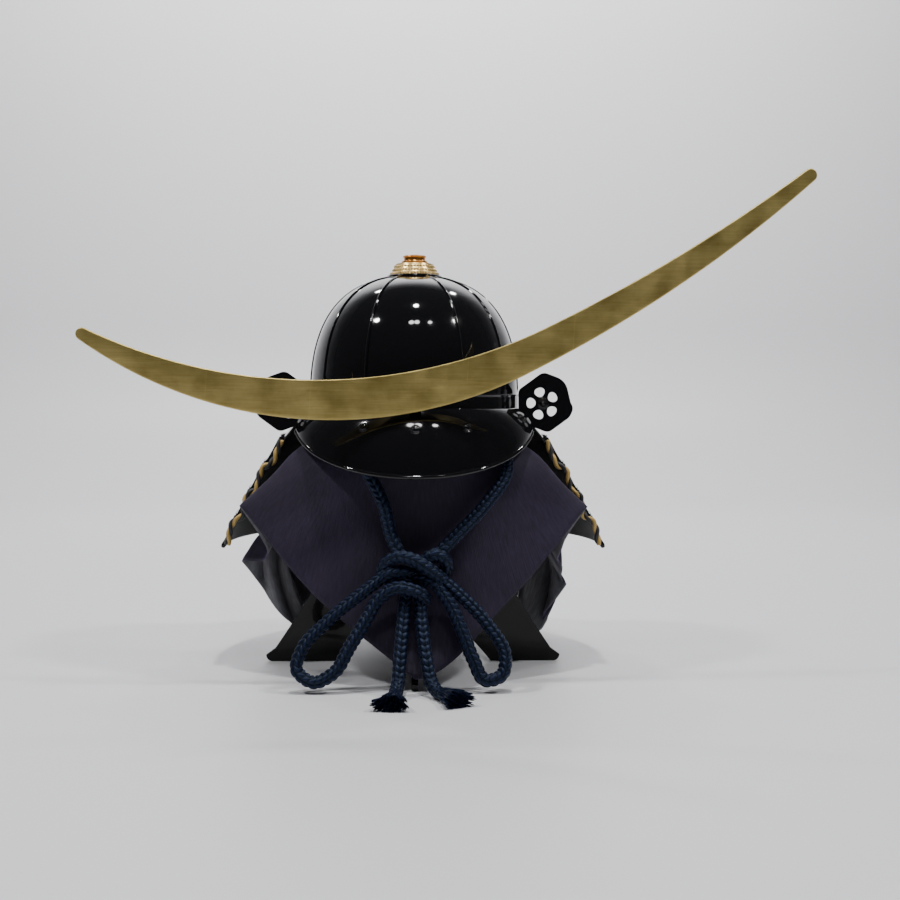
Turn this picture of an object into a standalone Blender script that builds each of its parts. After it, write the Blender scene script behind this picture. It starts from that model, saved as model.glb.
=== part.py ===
"""Samurai helmet on a stand of two crossed boards, with its draped cloth and tied cord.

Metres, +Z up. The helmet's front looks along -Y, and everything is modelled round the bowl's upright
axis, with the surface under the stand's feet at z = 0. The finished parts are then moved together so
that the origin lies under the middle of the box round the stand, the cloth and the helmet.
"""
import math

import bpy
import bmesh
import numpy as np
from mathutils import Vector

FIT = 0.0003                     # gap between pieces that touch
LOOSE_FIT = 0.0005               # gap where both neighbours are curved and have flat facets

# Bowl: a squarish dome on an oval plan, made of lacquered iron plates
BOWL_HALF_WIDTH = 0.108
PLAN_RATIO = 1.15                # length of the oval plan over its width
BOWL_SPRING_Z = 0.270            # height at which the wall starts to lean in
BOWL_RISE = 0.134                # from there to the crown
BOWL_SQUARENESS = 2.6            # power of the superellipse, 2 is a plain ellipse
BOWL_WALL = 0.002
BOWL_FOOT_Z = 0.2645
BOWL_HOLE_RADIUS = 0.018
FRONT_PLATE_HALF_DEG = 26.0      # from the front to the first seam
SIDE_PLATES = 5                  # on each side, from the front plate to the rear seam
RIB_HEIGHT = 0.0012
RIB_WIDTH = 0.0026
PLATE_COLUMNS = (0.0, 0.33, 0.67, "rib foot", "rib edge", 1.0)     # shares of the way to the next seam
CROWN_SHARE = 0.6                # below this share of the half width the ribs also stand up
RIB_FADE = 0.006                 # length over which a rib rises above the base band

# Band round the foot of the bowl
BAND_WALL = 0.0016
BAND_FOOT_Z = 0.2615
BAND_TOP_Z = 0.282

# Crown ornament
TEHEN_BASE_RADIUS = 0.0290
TEHEN_BASE_HEIGHT = 0.0022
TEHEN_BASE_EDGE = 0.0013         # height of the base's upright edge
TEHEN_CONE_FOOT_RADIUS = 0.0265
TEHEN_CONE_TOP_RADIUS = 0.0195
TEHEN_CONE_HEIGHT = 0.0115
TEHEN_CAP_RADIUS = 0.0135
TEHEN_CAP_HEIGHT = 0.0088
TEHEN_CAP_SIDE = (               # shares of the lip round the hole and of the height
    (0.0, 1.0), (0.7, 1.0), (1.0, 0.75), (0.8, 0.45), (1.0, 0.2), (1.0, 0.0), (0.0, 0.0),
)
TEHEN_HOLE_RADIUS = 0.0065
TEHEN_STEPS = 22

# Peak
PEAK_END_DEG = 68.0
PEAK_ROOT_Z = 0.268
PEAK_REACH = 0.026
PEAK_DROP = 0.0635
PEAK_WALL = 0.002
PEAK_RIM_RADIUS = 0.0022
PEAK_RIVETS_DEG = (-60.0, -22.5, 0.0, 22.5, 60.0)
PEAK_RIVET_SHARE = 0.37          # of the way from the peak's root to its rim
PEAK_RIVET_RADIUS = 0.0050
PEAK_RIVET_HEIGHT = 0.0024

# Crest: a lopsided crescent between two edges, each of two arcs that run into one another
CREST_PLATE = 0.004
CREST_FRONT_Y = -0.145
CREST_LEFT_X = -0.312
CREST_RIGHT_X = 0.374
CREST_UPPER_ARCS = {"centre_x": -0.096, "centre_z": 0.7962, "left_radius": 0.5019,
                    "join_x": 0.1271, "right_radius": 1.5902}
CREST_LOWER_ARCS = {"centre_x": -0.0796, "centre_z": 0.6630, "left_radius": 0.4068,
                    "join_x": 0.1011, "right_radius": 1.2481}
CREST_STEPS = 22
PRONG_HALF_WIDTH = 0.006
PRONG_FOOT_Z = 0.2725
PRONG_TOP_Z = 0.296
PRONG_BEVEL = 0.0008

# Neck guard
LAMES = 5
LAME_WALL = 0.0018
LAME_STEP = 0.0031               # each lower lame lies this much further out
LAME_OVERLAP = 0.007
LAME_TOP_Z = 0.266
LAME_FOOT_Z = 0.1245
LAME_FOOT_HALF_WIDTH = 0.1965
LAME_FLARE_POWER = 0.68          # the guard spreads most just under the bowl
LAME_FRONT_Y = -0.036            # plane in which the lames' inner faces end in front
LAME_FACE_Y = LAME_FRONT_Y - LAME_WALL * 0.3     # and the plane that their outer faces reach
LAME_COLUMNS = 25
EAR_LACE_RADIUS = 0.0030

# Turned-back plates beside the peak, seen from the front and measured from the flower's centre
EAR_PLATE = 0.002
EAR_CENTRE_X = 0.1315
EAR_CENTRE_Z = 0.2725
EAR_OUTLINE = {                  # corner: (outward, up, rounding)
    "inner top": (-0.0250, 0.0140, 0.004),
    "top": (0.0003, 0.0325, 0.005),
    "outer top": (0.0235, 0.0240, 0.014),
    "notch": (0.0288, 0.0020, 0.0012),
    "outer": (0.0318, -0.0045, 0.004),
    "outer foot": (0.0285, -0.0135, 0.004),
    "foot": (0.0060, -0.0300, 0.005),
    "inner foot": (-0.0080, -0.0245, 0.004),
    "neck foot": (-0.0200, -0.0225, 0.002),
    "neck top": (-0.0248, -0.0060, 0.002),
}
PETALS = 5
PETAL_RADIUS = 0.0119            # from the flower's centre to a petal's
PETAL_LENGTH = 0.0094
PETAL_WIDTH = 0.0104
PETAL_SWELL = 0.18               # how much wider a petal is outside its middle than inside
FIRST_PETAL_DEG = 105.0          # from outward, turning upwards
BOSS_RADIUS = 0.0066
BOSS_HEIGHT = 0.0032

# Stand
BOARD_THICKNESS = 0.006
FOOT_HALF_SPAN = 0.155
POST_HALF_WIDTH = 0.048
FLARE_HEIGHT = 0.20
FLARE_POWER = 1.3
TOE_RADIUS = 0.007
ARCH_HALF_SPAN = 0.082
ARCH_HEIGHT = 0.065
ARCH_POWER = 0.645
LAP_Z = 0.165                    # where the two boards' slots meet
HEAD_RADIUS = 0.0640
HEAD_EDGE_Z = 0.366
HEAD_RINGS = 4                   # facets of the dome from crown to edge, the same on the cloth
HEAD_FOOT_Z = 0.336
HEAD_FOOT_RADIUS = 0.052

# Cloth: a square laid over the stand's head with a corner in front. Each row of folds says where
# the line cut at that angle from the front corner goes. Reaches and depths are shares of the half
# side, and heights are shares of the height of the helmet's base band.
CLOTH_HALF_SIDE = 0.32
CLOTH_WALL = 0.0015
CLOTH_BULGE = 0.0006             # height to which it stands up in the hole in the bowl's crown
CLOTH_RIM_HALF_WIDTH = 0.093     # half width of the oval that it hangs through under the bowl
CLOTH_FOLDS = (
    # cut, at rim, mid x, mid y, mid z, hem x, hem y, hem z
    (0.0, 0.0, 0.000, -0.353, 0.477, 0.000, -0.495, 0.050),
    (22.5, 32.0, 0.225, -0.334, 0.700, 0.300, -0.345, 0.321),
    (45.0, 62.0, 0.400, -0.185, 0.828, 0.550, -0.168, 0.640),
    (60.0, 76.0, 0.375, -0.070, 0.745, 0.485, -0.060, 0.470),
    (75.0, 88.0, 0.420, 0.040, 0.630, 0.538, 0.110, 0.330),
    (90.0, 98.0, 0.470, 0.150, 0.500, 0.415, 0.230, 0.090),
    (112.5, 116.0, 0.375, 0.235, 0.595, 0.378, 0.310, 0.130),
    (135.0, 132.0, 0.300, 0.310, 0.720, 0.320, 0.388, 0.360),
    (157.5, 156.0, 0.160, 0.365, 0.630, 0.200, 0.465, 0.290),
    (180.0, 180.0, 0.000, 0.385, 0.490, 0.000, 0.495, 0.055),
)
CLOTH_COLUMNS = 48
CLOTH_HANG_STAGES = (1.6, 2.0, 2.5, 3.0, 3.5, 4.0)

# Cord: hand-chosen points of each stretch's route
CORD_RADIUS = 0.0062
CORD_SPACING = 1.1               # distance between the tube's rings, in diameters
CORD_ROUTES = {
    "cord_lead_left": ((-0.0705, -0.0967, 0.2453), (-0.0655, -0.1090, 0.2310), (-0.0450, -0.1260, 0.2050),
                       (-0.0300, -0.1300, 0.1750), (-0.0225, -0.1360, 0.1460), (-0.0142, -0.1408, 0.1281)),
    "cord_lead_right": ((0.0832, -0.0816, 0.2465), (0.0885, -0.0930, 0.2290), (0.0895, -0.1050, 0.2060),
                        (0.0690, -0.1225, 0.1763), (0.0380, -0.1340, 0.1450), (0.0172, -0.1404, 0.1242)),
    "cord_loop_left": ((-0.0303, -0.1400, 0.1078), (-0.0489, -0.1430, 0.0915), (-0.0843, -0.1490, 0.0640),
                       (-0.1064, -0.1540, 0.0404), (-0.1110, -0.1580, 0.0225), (-0.0950, -0.1610, 0.0110),
                       (-0.0720, -0.1600, 0.0190), (-0.0464, -0.1540, 0.0520), (-0.0197, -0.1436, 0.0959)),
    "cord_loop_right": ((0.0248, -0.1400, 0.1043), (0.0402, -0.1430, 0.0870), (0.0691, -0.1490, 0.0610),
                        (0.0855, -0.1545, 0.0341), (0.0820, -0.1590, 0.0170), (0.0645, -0.1610, 0.0120),
                        (0.0470, -0.1575, 0.0360), (0.0310, -0.1500, 0.0660), (0.0175, -0.1427, 0.0945)),
    "cord_tail_left": ((-0.0085, -0.1420, 0.0902), (-0.0115, -0.1535, 0.0640), (-0.0140, -0.1665, 0.0350),
                       (-0.0160, -0.1780, 0.0130), (-0.0180, -0.1920, 0.0068), (-0.0195, -0.2050, 0.0068)),
    "cord_tail_right": ((0.0045, -0.1420, 0.0902), (0.0065, -0.1535, 0.0640), (0.0105, -0.1665, 0.0350),
                        (0.0155, -0.1770, 0.0130), (0.0210, -0.1870, 0.0068), (0.0260, -0.1960, 0.0068)),
}
KNOT_CENTRE = (-0.002, -0.140, 0.110)
KNOT_HALF_SIZES = (0.0255, 0.0135, 0.0200)
CORD_RING_DEG = {"left": -40.0, "right": 50.0}
CORD_RING_RADIUS = 0.0055
CORD_RING_WIRE = 0.0014
TASSEL_LENGTH = {"left": 0.032, "right": 0.029}
TASSEL_HALF_WIDTH = {"left": 0.0185, "right": 0.0165}
TASSEL_HALF_HEIGHT = 0.0100
TASSEL_NECK_SHARE = 0.62         # least height of the tassel, as a share of its half height
TASSEL_RINGS = (                 # share of the length, of the half width, and depth of the locks
    (0.0, 0.36, 0.0),
    (0.12, 0.50, 0.0),
    (0.26, 0.48, 0.0),
    (0.33, 0.40, 0.0),
    (0.6, 0.78, 0.10),
    (1.0, 1.0, 0.18),
)
TASSEL_LOCKS = 7
CORD_NAMES = ("cord_lead", "cord_knot", "cord_loop", "cord_tail", "tassel")

# Colours, roughness and metallic value of each finish
FINISHES = {
    "black_lacquer": ((0.008, 0.008, 0.010), 0.12, 0.0),
    "stand_lacquer": ((0.010, 0.010, 0.012), 0.20, 0.0),
    "gilt_crest": ((0.62, 0.43, 0.13), 0.32, 1.0),
    "pale_gilt": ((0.72, 0.55, 0.28), 0.35, 1.0),
    "red_gilt": ((0.68, 0.36, 0.10), 0.30, 1.0),
    "purple_silk": ((0.050, 0.030, 0.095), 0.75, 0.0),
    "navy_braid": ((0.012, 0.022, 0.060), 0.80, 0.0),
    "gold_black_lace": ((0.45, 0.31, 0.09), 0.60, 0.0),
    "plain_wood": ((0.36, 0.25, 0.15), 0.60, 0.0),
}


def clear_scene():
    for item in list(bpy.data.objects):
        bpy.data.objects.remove(item, do_unlink=True)


def finish(name):
    """The Principled material of one finish, made once."""
    material = bpy.data.materials.get(name)
    if material is None:
        colour, roughness, metallic = FINISHES[name]
        material = bpy.data.materials.new(name)
        material.use_nodes = True
        shader = material.node_tree.nodes["Principled BSDF"]
        shader.inputs["Base Color"].default_value = (*colour, 1.0)
        shader.inputs["Roughness"].default_value = roughness
        shader.inputs["Metallic"].default_value = metallic
    return material


def place(item, material, collection):
    """Puts an object in its collection, under the common empty, with its finish."""
    collection.objects.link(item)
    item.parent = bpy.data.objects["helmet_origin"]
    item.data.materials.append(finish(material))
    return item


def grid_surface(name, points, around=False, pole=None):
    """Mesh of a grid of points, [column, row, xyz], its columns closed round if asked, with a fan of
    triangles to the point pole beyond the first row."""
    columns, rows = points.shape[:2]
    vertices = [tuple(p) for p in points.reshape(-1, 3)]
    faces = []
    for i in range(columns if around else columns - 1):
        a, b = i * rows, (i + 1) % columns * rows
        faces += [(a + j, b + j, b + j + 1, a + j + 1) for j in range(rows - 1)]
        if pole is not None:
            faces.append((a, len(vertices), b))
    if pole is not None:
        vertices.append(tuple(pole))
    mesh = bpy.data.meshes.new(name)
    mesh.from_pydata(vertices, [], faces)
    return mesh


def shell(name, points, wall, side, material, collection, around=False, pole=None):
    """A sheet of even thickness that grows from the surface, outwards with side +1, inwards with -1."""
    mesh = grid_surface(name, points, around, pole)
    mesh.shade_smooth()
    item = place(bpy.data.objects.new(name, mesh), material, collection)
    solid = item.modifiers.new("wall", "SOLIDIFY")
    solid.thickness = wall
    solid.offset = side
    return item


def turned(name, profile, steps, material, collection, height, bored=False):
    """A solid turned round the upright axis: profile holds (radius, z) from top to bottom of its outer
    side. A bored one's profile is closed by the wall of its hole."""
    mesh = bpy.data.meshes.new(name)
    edges = [(i, i + 1) for i in range(len(profile) - 1)] + ([(len(profile) - 1, 0)] if bored else [])
    mesh.from_pydata([(r, 0.0, z) for r, z in profile], edges, [])
    item = place(bpy.data.objects.new(name, mesh), material, collection)
    item.location.z = height
    screw = item.modifiers.new("turn", "SCREW")
    screw.steps = screw.render_steps = steps
    screw.use_merge_vertices = True
    screw.merge_threshold = 0.00001
    screw.use_smooth_shade = False
    return item


def flat_plate(name, outline, thickness, material, collection, holes=()):
    """A plate cut to an outline in its own X and Y, with holes, as thick along Z as it is said."""
    curve = bpy.data.curves.new(name, "CURVE")
    curve.dimensions = "2D"
    curve.fill_mode = "BOTH"
    curve.extrude = thickness / 2
    for ring in (outline, *holes):
        spline = curve.splines.new("POLY")
        spline.points.add(len(ring) - 1)
        for point, (x, y) in zip(spline.points, ring):
            point.co = (x, y, 0.0, 1.0)
        spline.use_cyclic_u = True
    return place(bpy.data.objects.new(name, curve), material, collection)


def as_mesh(item, collection):
    """Replaces a curve object by its welded mesh, so that it can be cut and its faces all point out."""
    bpy.context.view_layer.update()
    mesh = bpy.data.meshes.new_from_object(item.evaluated_get(bpy.context.evaluated_depsgraph_get()))
    work = bmesh.new()
    work.from_mesh(mesh)
    bmesh.ops.remove_doubles(work, verts=work.verts, dist=0.00001)
    bmesh.ops.recalc_face_normals(work, faces=work.faces)
    work.to_mesh(mesh)
    work.free()
    name, place_in_world = item.name, item.matrix_world.copy()
    bpy.data.objects.remove(item, do_unlink=True)
    made = bpy.data.objects.new(name, mesh)
    collection.objects.link(made)
    made.parent = bpy.data.objects["helmet_origin"]
    made.matrix_world = place_in_world
    return made


def tube(name, points, radius, sides, material, collection, closed=False):
    """A round cord or wire along points, with filled ends."""
    curve = bpy.data.curves.new(name, "CURVE")
    curve.dimensions = "3D"
    curve.bevel_depth = radius
    curve.bevel_resolution = sides
    curve.use_fill_caps = not closed
    spline = curve.splines.new("POLY")
    spline.points.add(len(points) - 1)
    for point, co in zip(spline.points, points):
        point.co = (*co, 1.0)
    spline.use_cyclic_u = closed
    return place(bpy.data.objects.new(name, curve), material, collection)


def hermite(keys, values, at, closing=None):
    """Smooth curve through values at rising keys, read at the places asked for. Slopes come from the
    neighbours on both sides. closing is the period, for values that come round again."""
    keys, values = np.asarray(keys, float), np.asarray(values, float)
    at = np.asarray(at, float)
    if closing:
        keys = np.concatenate([[keys[-1] - closing], keys, [keys[0] + closing]])
        values = np.concatenate([values[-1:], values, values[:1]])
    slopes = np.gradient(values, keys, axis=0)
    k = np.clip(np.searchsorted(keys, at, side="right") - 1, 0, len(keys) - 2)
    span = (keys[k + 1] - keys[k])[..., None]
    t = ((at - keys[k])[..., None]) / span
    return ((2 * t**3 - 3 * t**2 + 1) * values[k] + (t**3 - 2 * t**2 + t) * span * slopes[k]
            + (3 * t**2 - 2 * t**3) * values[k + 1] + (t**3 - t**2) * span * slopes[k + 1])


def resample(points, spacing):
    """Points at an even spacing on a smooth curve through the points given."""
    points = np.asarray(points, float)
    keys = np.concatenate([[0.0], np.cumsum(np.linalg.norm(np.diff(points, axis=0), axis=1))])
    fine = hermite(keys, points, np.linspace(0.0, keys[-1], 400))
    run = np.concatenate([[0.0], np.cumsum(np.linalg.norm(np.diff(fine, axis=0), axis=1))])
    stations = np.linspace(0.0, run[-1], max(4, round(run[-1] / spacing) + 1))
    return np.stack([np.interp(stations, run, fine[:, axis]) for axis in range(3)], axis=1)


def oval(half_width, angle, offset=0.0):
    """Plan points x, y on the oval of a half width, at an angle from the front (radians), moved out
    along the oval's normal by an offset."""
    a, b = half_width, half_width * PLAN_RATIO
    x, y = a * np.sin(angle), -b * np.cos(angle)
    nx, ny = np.sin(angle) / a, -np.cos(angle) / b
    size = np.hypot(nx, ny)
    return x + offset * nx / size, y + offset * ny / size


def bowl_profile(rows):
    """Half widths and heights from the foot of the bowl to the hole in its crown."""
    power = 2.0 / BOWL_SQUARENESS
    last = math.acos((BOWL_HOLE_RADIUS / BOWL_HALF_WIDTH) ** (1.0 / power))
    turn = np.linspace(0.0, last, rows)
    half = BOWL_HALF_WIDTH * np.cos(turn) ** power
    z = BOWL_SPRING_Z + BOWL_RISE * np.sin(turn) ** power
    return np.concatenate([half[:1], half]), np.concatenate([[BOWL_FOOT_Z], z])


def seam_angles():
    """Angles from the front of all seams, in order round the bowl."""
    step = (180.0 - FRONT_PLATE_HALF_DEG) / SIDE_PLATES
    side = [FRONT_PLATE_HALF_DEG + i * step for i in range(SIDE_PLATES + 1)]
    return np.radians([-a for a in reversed(side[:-1])] + side)


def build_bowl(collection):
    """Plates between neighbouring seams, each a curved sheet whose last edge is raised as a rib."""
    half, z = bowl_profile(8)
    rise = np.clip((z - BAND_TOP_Z) / RIB_FADE, 0.0, 1.0) * (half > TEHEN_BASE_RADIUS)
    seams = seam_angles()
    for number in range(len(seams)):
        start = seams[number]
        end = seams[(number + 1) % len(seams)]
        if end < start:
            end += 2 * math.pi
        columns = []
        for share in PLATE_COLUMNS:
            width = (end - start) * half
            if share == "rib foot":
                angle = end - (RIB_WIDTH + BOWL_WALL * 0.1) / width * (end - start)
            elif share == "rib edge":
                angle = end - RIB_WIDTH / width * (end - start)
            else:
                angle = start + (end - start) * share + np.zeros_like(half)
            raised = RIB_HEIGHT * rise if share in ("rib edge", 1.0) else 0.0
            inset = {0.0: 1.0, 1.0: -1.0}.get(share, 0.0) * LOOSE_FIT / 2
            x, y = oval(half, angle, raised)
            run_x, run_y = half * np.cos(angle), half * PLAN_RATIO * np.sin(angle)
            run = np.hypot(run_x, run_y)
            lift = np.where(half < BOWL_HALF_WIDTH * CROWN_SHARE, raised, 0.0)
            columns.append(np.stack([x + inset * run_x / run, y + inset * run_y / run, z + lift], axis=1))
        name = f"bowl_plate_{number + 1:02d}"
        shell(name, np.array(columns), BOWL_WALL, -1.0, "black_lacquer", collection)


def build_band(collection):
    angle = np.linspace(0.0, 2 * math.pi, 48, endpoint=False)
    x, y = oval(BOWL_HALF_WIDTH, angle, LOOSE_FIT)
    rows = [np.stack([x, y, np.full_like(x, z)], axis=1) for z in (BAND_FOOT_Z, BAND_TOP_Z)]
    points = np.stack(rows, axis=1)
    shell("bowl_base_band", points, BAND_WALL, 1.0, "black_lacquer", collection, around=True)


def build_tehen(collection):
    crown = bowl_profile(2)[1][-1] + FIT
    base = [(TEHEN_HOLE_RADIUS, TEHEN_BASE_HEIGHT), (TEHEN_CONE_FOOT_RADIUS, TEHEN_BASE_HEIGHT),
            (TEHEN_BASE_RADIUS, TEHEN_BASE_EDGE), (TEHEN_BASE_RADIUS, 0.0), (TEHEN_HOLE_RADIUS, 0.0)]
    turned("tehen_base", base, TEHEN_STEPS, "black_lacquer", collection, crown, bored=True)
    foot = crown + TEHEN_BASE_HEIGHT + FIT
    rows = 4
    slope = [(TEHEN_CONE_TOP_RADIUS + (TEHEN_CONE_FOOT_RADIUS - TEHEN_CONE_TOP_RADIUS) * (i / rows) ** 1.4,
              TEHEN_CONE_HEIGHT * (1 - i / rows)) for i in range(rows + 1)]
    turned("tehen_cone", [(TEHEN_HOLE_RADIUS, TEHEN_CONE_HEIGHT), *slope, (TEHEN_HOLE_RADIUS, 0.0)],
           TEHEN_STEPS, "pale_gilt", collection, foot, bored=True)
    foot += TEHEN_CONE_HEIGHT + FIT
    lip = TEHEN_CAP_RADIUS - TEHEN_HOLE_RADIUS
    profile = [(TEHEN_HOLE_RADIUS + lip * out, TEHEN_CAP_HEIGHT * up) for out, up in TEHEN_CAP_SIDE]
    turned("tehen_cap", profile, TEHEN_STEPS, "red_gilt", collection, foot, bored=True)


def peak_points(angle, share):
    """Points of the peak's upper face: share goes from its root on the band to its rim. The peak
    reaches out as a sine of the share and drops as a power of it, most of all in front."""
    forward = np.cos(angle)
    root = LOOSE_FIT + BAND_WALL + FIT + PEAK_WALL
    reach = PEAK_REACH * forward**0.45 * np.sin(share * math.pi / 2) ** 0.9
    x, y = oval(BOWL_HALF_WIDTH, angle, root + reach)
    return np.stack([x, y, PEAK_ROOT_Z - PEAK_DROP * forward**1.05 * share**1.15], axis=-1)


def build_peak(collection):
    end = math.radians(PEAK_END_DEG)
    angles = np.linspace(-end, end, 21)
    points = np.array([peak_points(a, np.linspace(0.0, 1.0, 5)) for a in angles])
    shell("peak", points[::-1], PEAK_WALL, -1.0, "black_lacquer", collection)
    angles = np.linspace(-end, end, 25)
    edge = np.array([peak_points(a, np.array([0.9, 1.0])) for a in angles])
    along = edge[:, 1] - edge[:, 0]
    along /= np.linalg.norm(along, axis=1)[:, None]
    out = np.stack([np.sin(angles), -np.cos(angles), np.zeros_like(angles)], axis=1)
    beyond = edge[:, 1] + along * (PEAK_RIM_RADIUS + LOOSE_FIT) - out * PEAK_WALL / 2
    tube("peak_rim", beyond, PEAK_RIM_RADIUS, 1, "black_lacquer", collection)


def dome(name, radius, height, centre, outward, material, collection, rings=3):
    """A low round stud on a face: centre is the middle of its flat side, outward the way it stands."""
    mesh = bpy.data.meshes.new(name)
    work = bmesh.new()
    bmesh.ops.create_uvsphere(work, u_segments=12, v_segments=2 * rings, radius=1.0)
    bmesh.ops.bisect_plane(work, geom=work.verts[:] + work.edges[:] + work.faces[:], plane_co=(0, 0, 0),
                           plane_no=(0, 0, 1), clear_inner=True)
    bmesh.ops.holes_fill(work, edges=[e for e in work.edges if e.is_boundary])
    bmesh.ops.scale(work, vec=(radius, radius, height), verts=work.verts)
    bmesh.ops.recalc_face_normals(work, faces=work.faces)
    work.to_mesh(mesh)
    work.free()
    item = place(bpy.data.objects.new(name, mesh), material, collection)
    item.rotation_euler = Vector(outward).to_track_quat("Z", "Y").to_euler()
    item.location = centre
    return item


def build_peak_rivets(collection):
    for number, degrees in enumerate(PEAK_RIVETS_DEG, 1):
        angle = math.radians(degrees)
        spot, beside, below = (peak_points(np.array(a), np.array(s)) for a, s in (
            (angle, PEAK_RIVET_SHARE), (angle + 0.02, PEAK_RIVET_SHARE), (angle, PEAK_RIVET_SHARE + 0.05)))
        outward = np.cross(below - spot, beside - spot)
        outward /= np.linalg.norm(outward)
        dome(f"peak_rivet_{number}", PEAK_RIVET_RADIUS, PEAK_RIVET_HEIGHT, spot + outward * LOOSE_FIT,
             outward, "black_lacquer", collection, 2)


def crest_edge(arcs, x):
    """Height of one edge of the crescent: an arc to the join, then a flatter one with the same slope."""
    across = arcs["join_x"] - arcs["centre_x"]
    rise = math.sqrt(arcs["left_radius"] ** 2 - across**2)
    scale = arcs["right_radius"] / arcs["left_radius"]
    second_x = arcs["join_x"] - across * scale
    second_z = arcs["centre_z"] - rise + rise * scale
    from_centre = np.minimum(x, arcs["join_x"]) - arcs["centre_x"]
    left = arcs["centre_z"] - np.sqrt(arcs["left_radius"] ** 2 - from_centre**2)
    right = second_z - np.sqrt(arcs["right_radius"] ** 2 - (x - second_x) ** 2)
    return np.where(x < arcs["join_x"], left, right)


def crest_outline():
    """The crescent's outline in x and z, with a half-round end at each tip, square to its middle line."""
    x = np.linspace(CREST_LEFT_X, CREST_RIGHT_X, CREST_STEPS)
    low, high = crest_edge(CREST_LOWER_ARCS, x), crest_edge(CREST_UPPER_ARCS, x)
    middle = np.stack([x, (low + high) / 2], axis=1)
    slope = np.arctan2(np.gradient(middle[:, 1]), np.gradient(x))
    half = (high - low) / 2 * np.cos(slope)
    square = np.stack([-np.sin(slope), np.cos(slope)], axis=1) * half[:, None]
    upper, lower = (middle + square).tolist(), (middle - square).tolist()
    turn = np.linspace(math.pi / 2, -math.pi / 2, 7)[1:-1]
    tips = []
    for end, sign in ((-1, 1.0), (0, -1.0)):
        way = np.stack([np.cos(slope[end] + turn), np.sin(slope[end] + turn)], axis=1)
        tips.append((middle[end] + sign * half[end] * way).tolist())
    return upper + tips[0] + lower[::-1] + tips[1]


def stand_up(item, front_y):
    """Turns a plate drawn in X and Y upright, so that its Y goes up and its front face is at front_y."""
    item.rotation_euler.x = math.pi / 2
    item.location.y = front_y
    return item


def build_crest(collection):
    plate = flat_plate("crest_crescent", crest_outline(), CREST_PLATE, "gilt_crest", collection)
    stand_up(plate, CREST_FRONT_Y + CREST_PLATE / 2)
    back = CREST_FRONT_Y + CREST_PLATE + FIT
    front_of_band = -(BOWL_HALF_WIDTH * PLAN_RATIO + LOOSE_FIT + BAND_WALL + FIT)
    mesh = bpy.data.meshes.new("crest_prong")
    work = bmesh.new()
    bmesh.ops.create_cube(work, size=1.0)
    size = (2 * PRONG_HALF_WIDTH, front_of_band - back, PRONG_TOP_Z - PRONG_FOOT_Z)
    bmesh.ops.scale(work, vec=size, verts=work.verts)
    work.to_mesh(mesh)
    work.free()
    prong = place(bpy.data.objects.new("crest_prong", mesh), "black_lacquer", collection)
    prong.location = (0.0, (back + front_of_band) / 2, (PRONG_TOP_Z + PRONG_FOOT_Z) / 2)
    bevel = prong.modifiers.new("edges", "BEVEL")
    bevel.width = PRONG_BEVEL
    bevel.segments = 1


def lame_edges(number):
    """Half widths and heights of one lame's inner face, at its top and foot edges."""
    top_half = BOWL_HALF_WIDTH + BAND_WALL + 2 * LOOSE_FIT + FIT
    height = LAME_TOP_Z - LAME_FOOT_Z
    pitch = (height - LAME_OVERLAP) / LAMES
    spread = LAME_FOOT_HALF_WIDTH - LAME_WALL - top_half - LAME_STEP * (LAMES - 1)
    top = LAME_TOP_Z - number * pitch
    foot = top - pitch - LAME_OVERLAP
    return [(top_half + spread * ((LAME_TOP_Z - z) / height) ** LAME_FLARE_POWER + LAME_STEP * number, z)
            for z in (top, foot)]


def lame_end(half_width):
    """Angle from the front at which a lame of a half width meets the plane of the front edges."""
    return math.acos(-LAME_FRONT_Y / (half_width * PLAN_RATIO))


def build_neck_guard(collection):
    for number in range(LAMES):
        rows = []
        for half, z in lame_edges(number):
            angle = np.linspace(lame_end(half), 2 * math.pi - lame_end(half), LAME_COLUMNS)
            x, y = oval(half, angle)
            rows.append(np.stack([x, y, np.full_like(x, z)], axis=1))
        points = np.stack(rows, axis=1)[:, ::-1]
        shell(f"shikoro_lame_{number + 1}", points, LAME_WALL, 1.0, "black_lacquer", collection)


def build_ear_laces(collection):
    """A cord down the lames' front edges, in at each overlap and out at each foot."""
    y = LAME_FACE_Y - EAR_LACE_RADIUS - FIT
    path = []
    for number in range(1, LAMES):
        (top_half, top_z), (foot_half, foot_z) = lame_edges(number)
        for share in (0.15, 0.9):
            half = top_half + (foot_half - top_half) * share + LAME_WALL / 2
            path.append((half * math.sin(lame_end(half)), y, top_z + (foot_z - top_z) * share))
    for side, sign in (("left", -1.0), ("right", 1.0)):
        points = resample([(sign * x, py, z) for x, py, z in path], EAR_LACE_RADIUS * 3.2)
        tube(f"ear_lace_{side}", points, EAR_LACE_RADIUS, 1, "gold_black_lace", collection)


def rounded(corners, steps=3):
    """Outline through corners (x, y, rounding), each one cut off by a short bow."""
    outline = []
    count = len(corners)
    for i, (x, y, radius) in enumerate(corners):
        here = np.array([x, y])
        ways = [np.array(corners[(i + d) % count][:2]) - here for d in (-1, 1)]
        reach = min(radius, 0.45 * min(np.linalg.norm(w) for w in ways))
        start, end = (here + w / np.linalg.norm(w) * reach for w in ways)
        for t in np.linspace(0.0, 1.0, steps + 1):
            outline.append(tuple((1 - t) ** 2 * start + 2 * t * (1 - t) * here + t**2 * end))
    return outline


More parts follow.
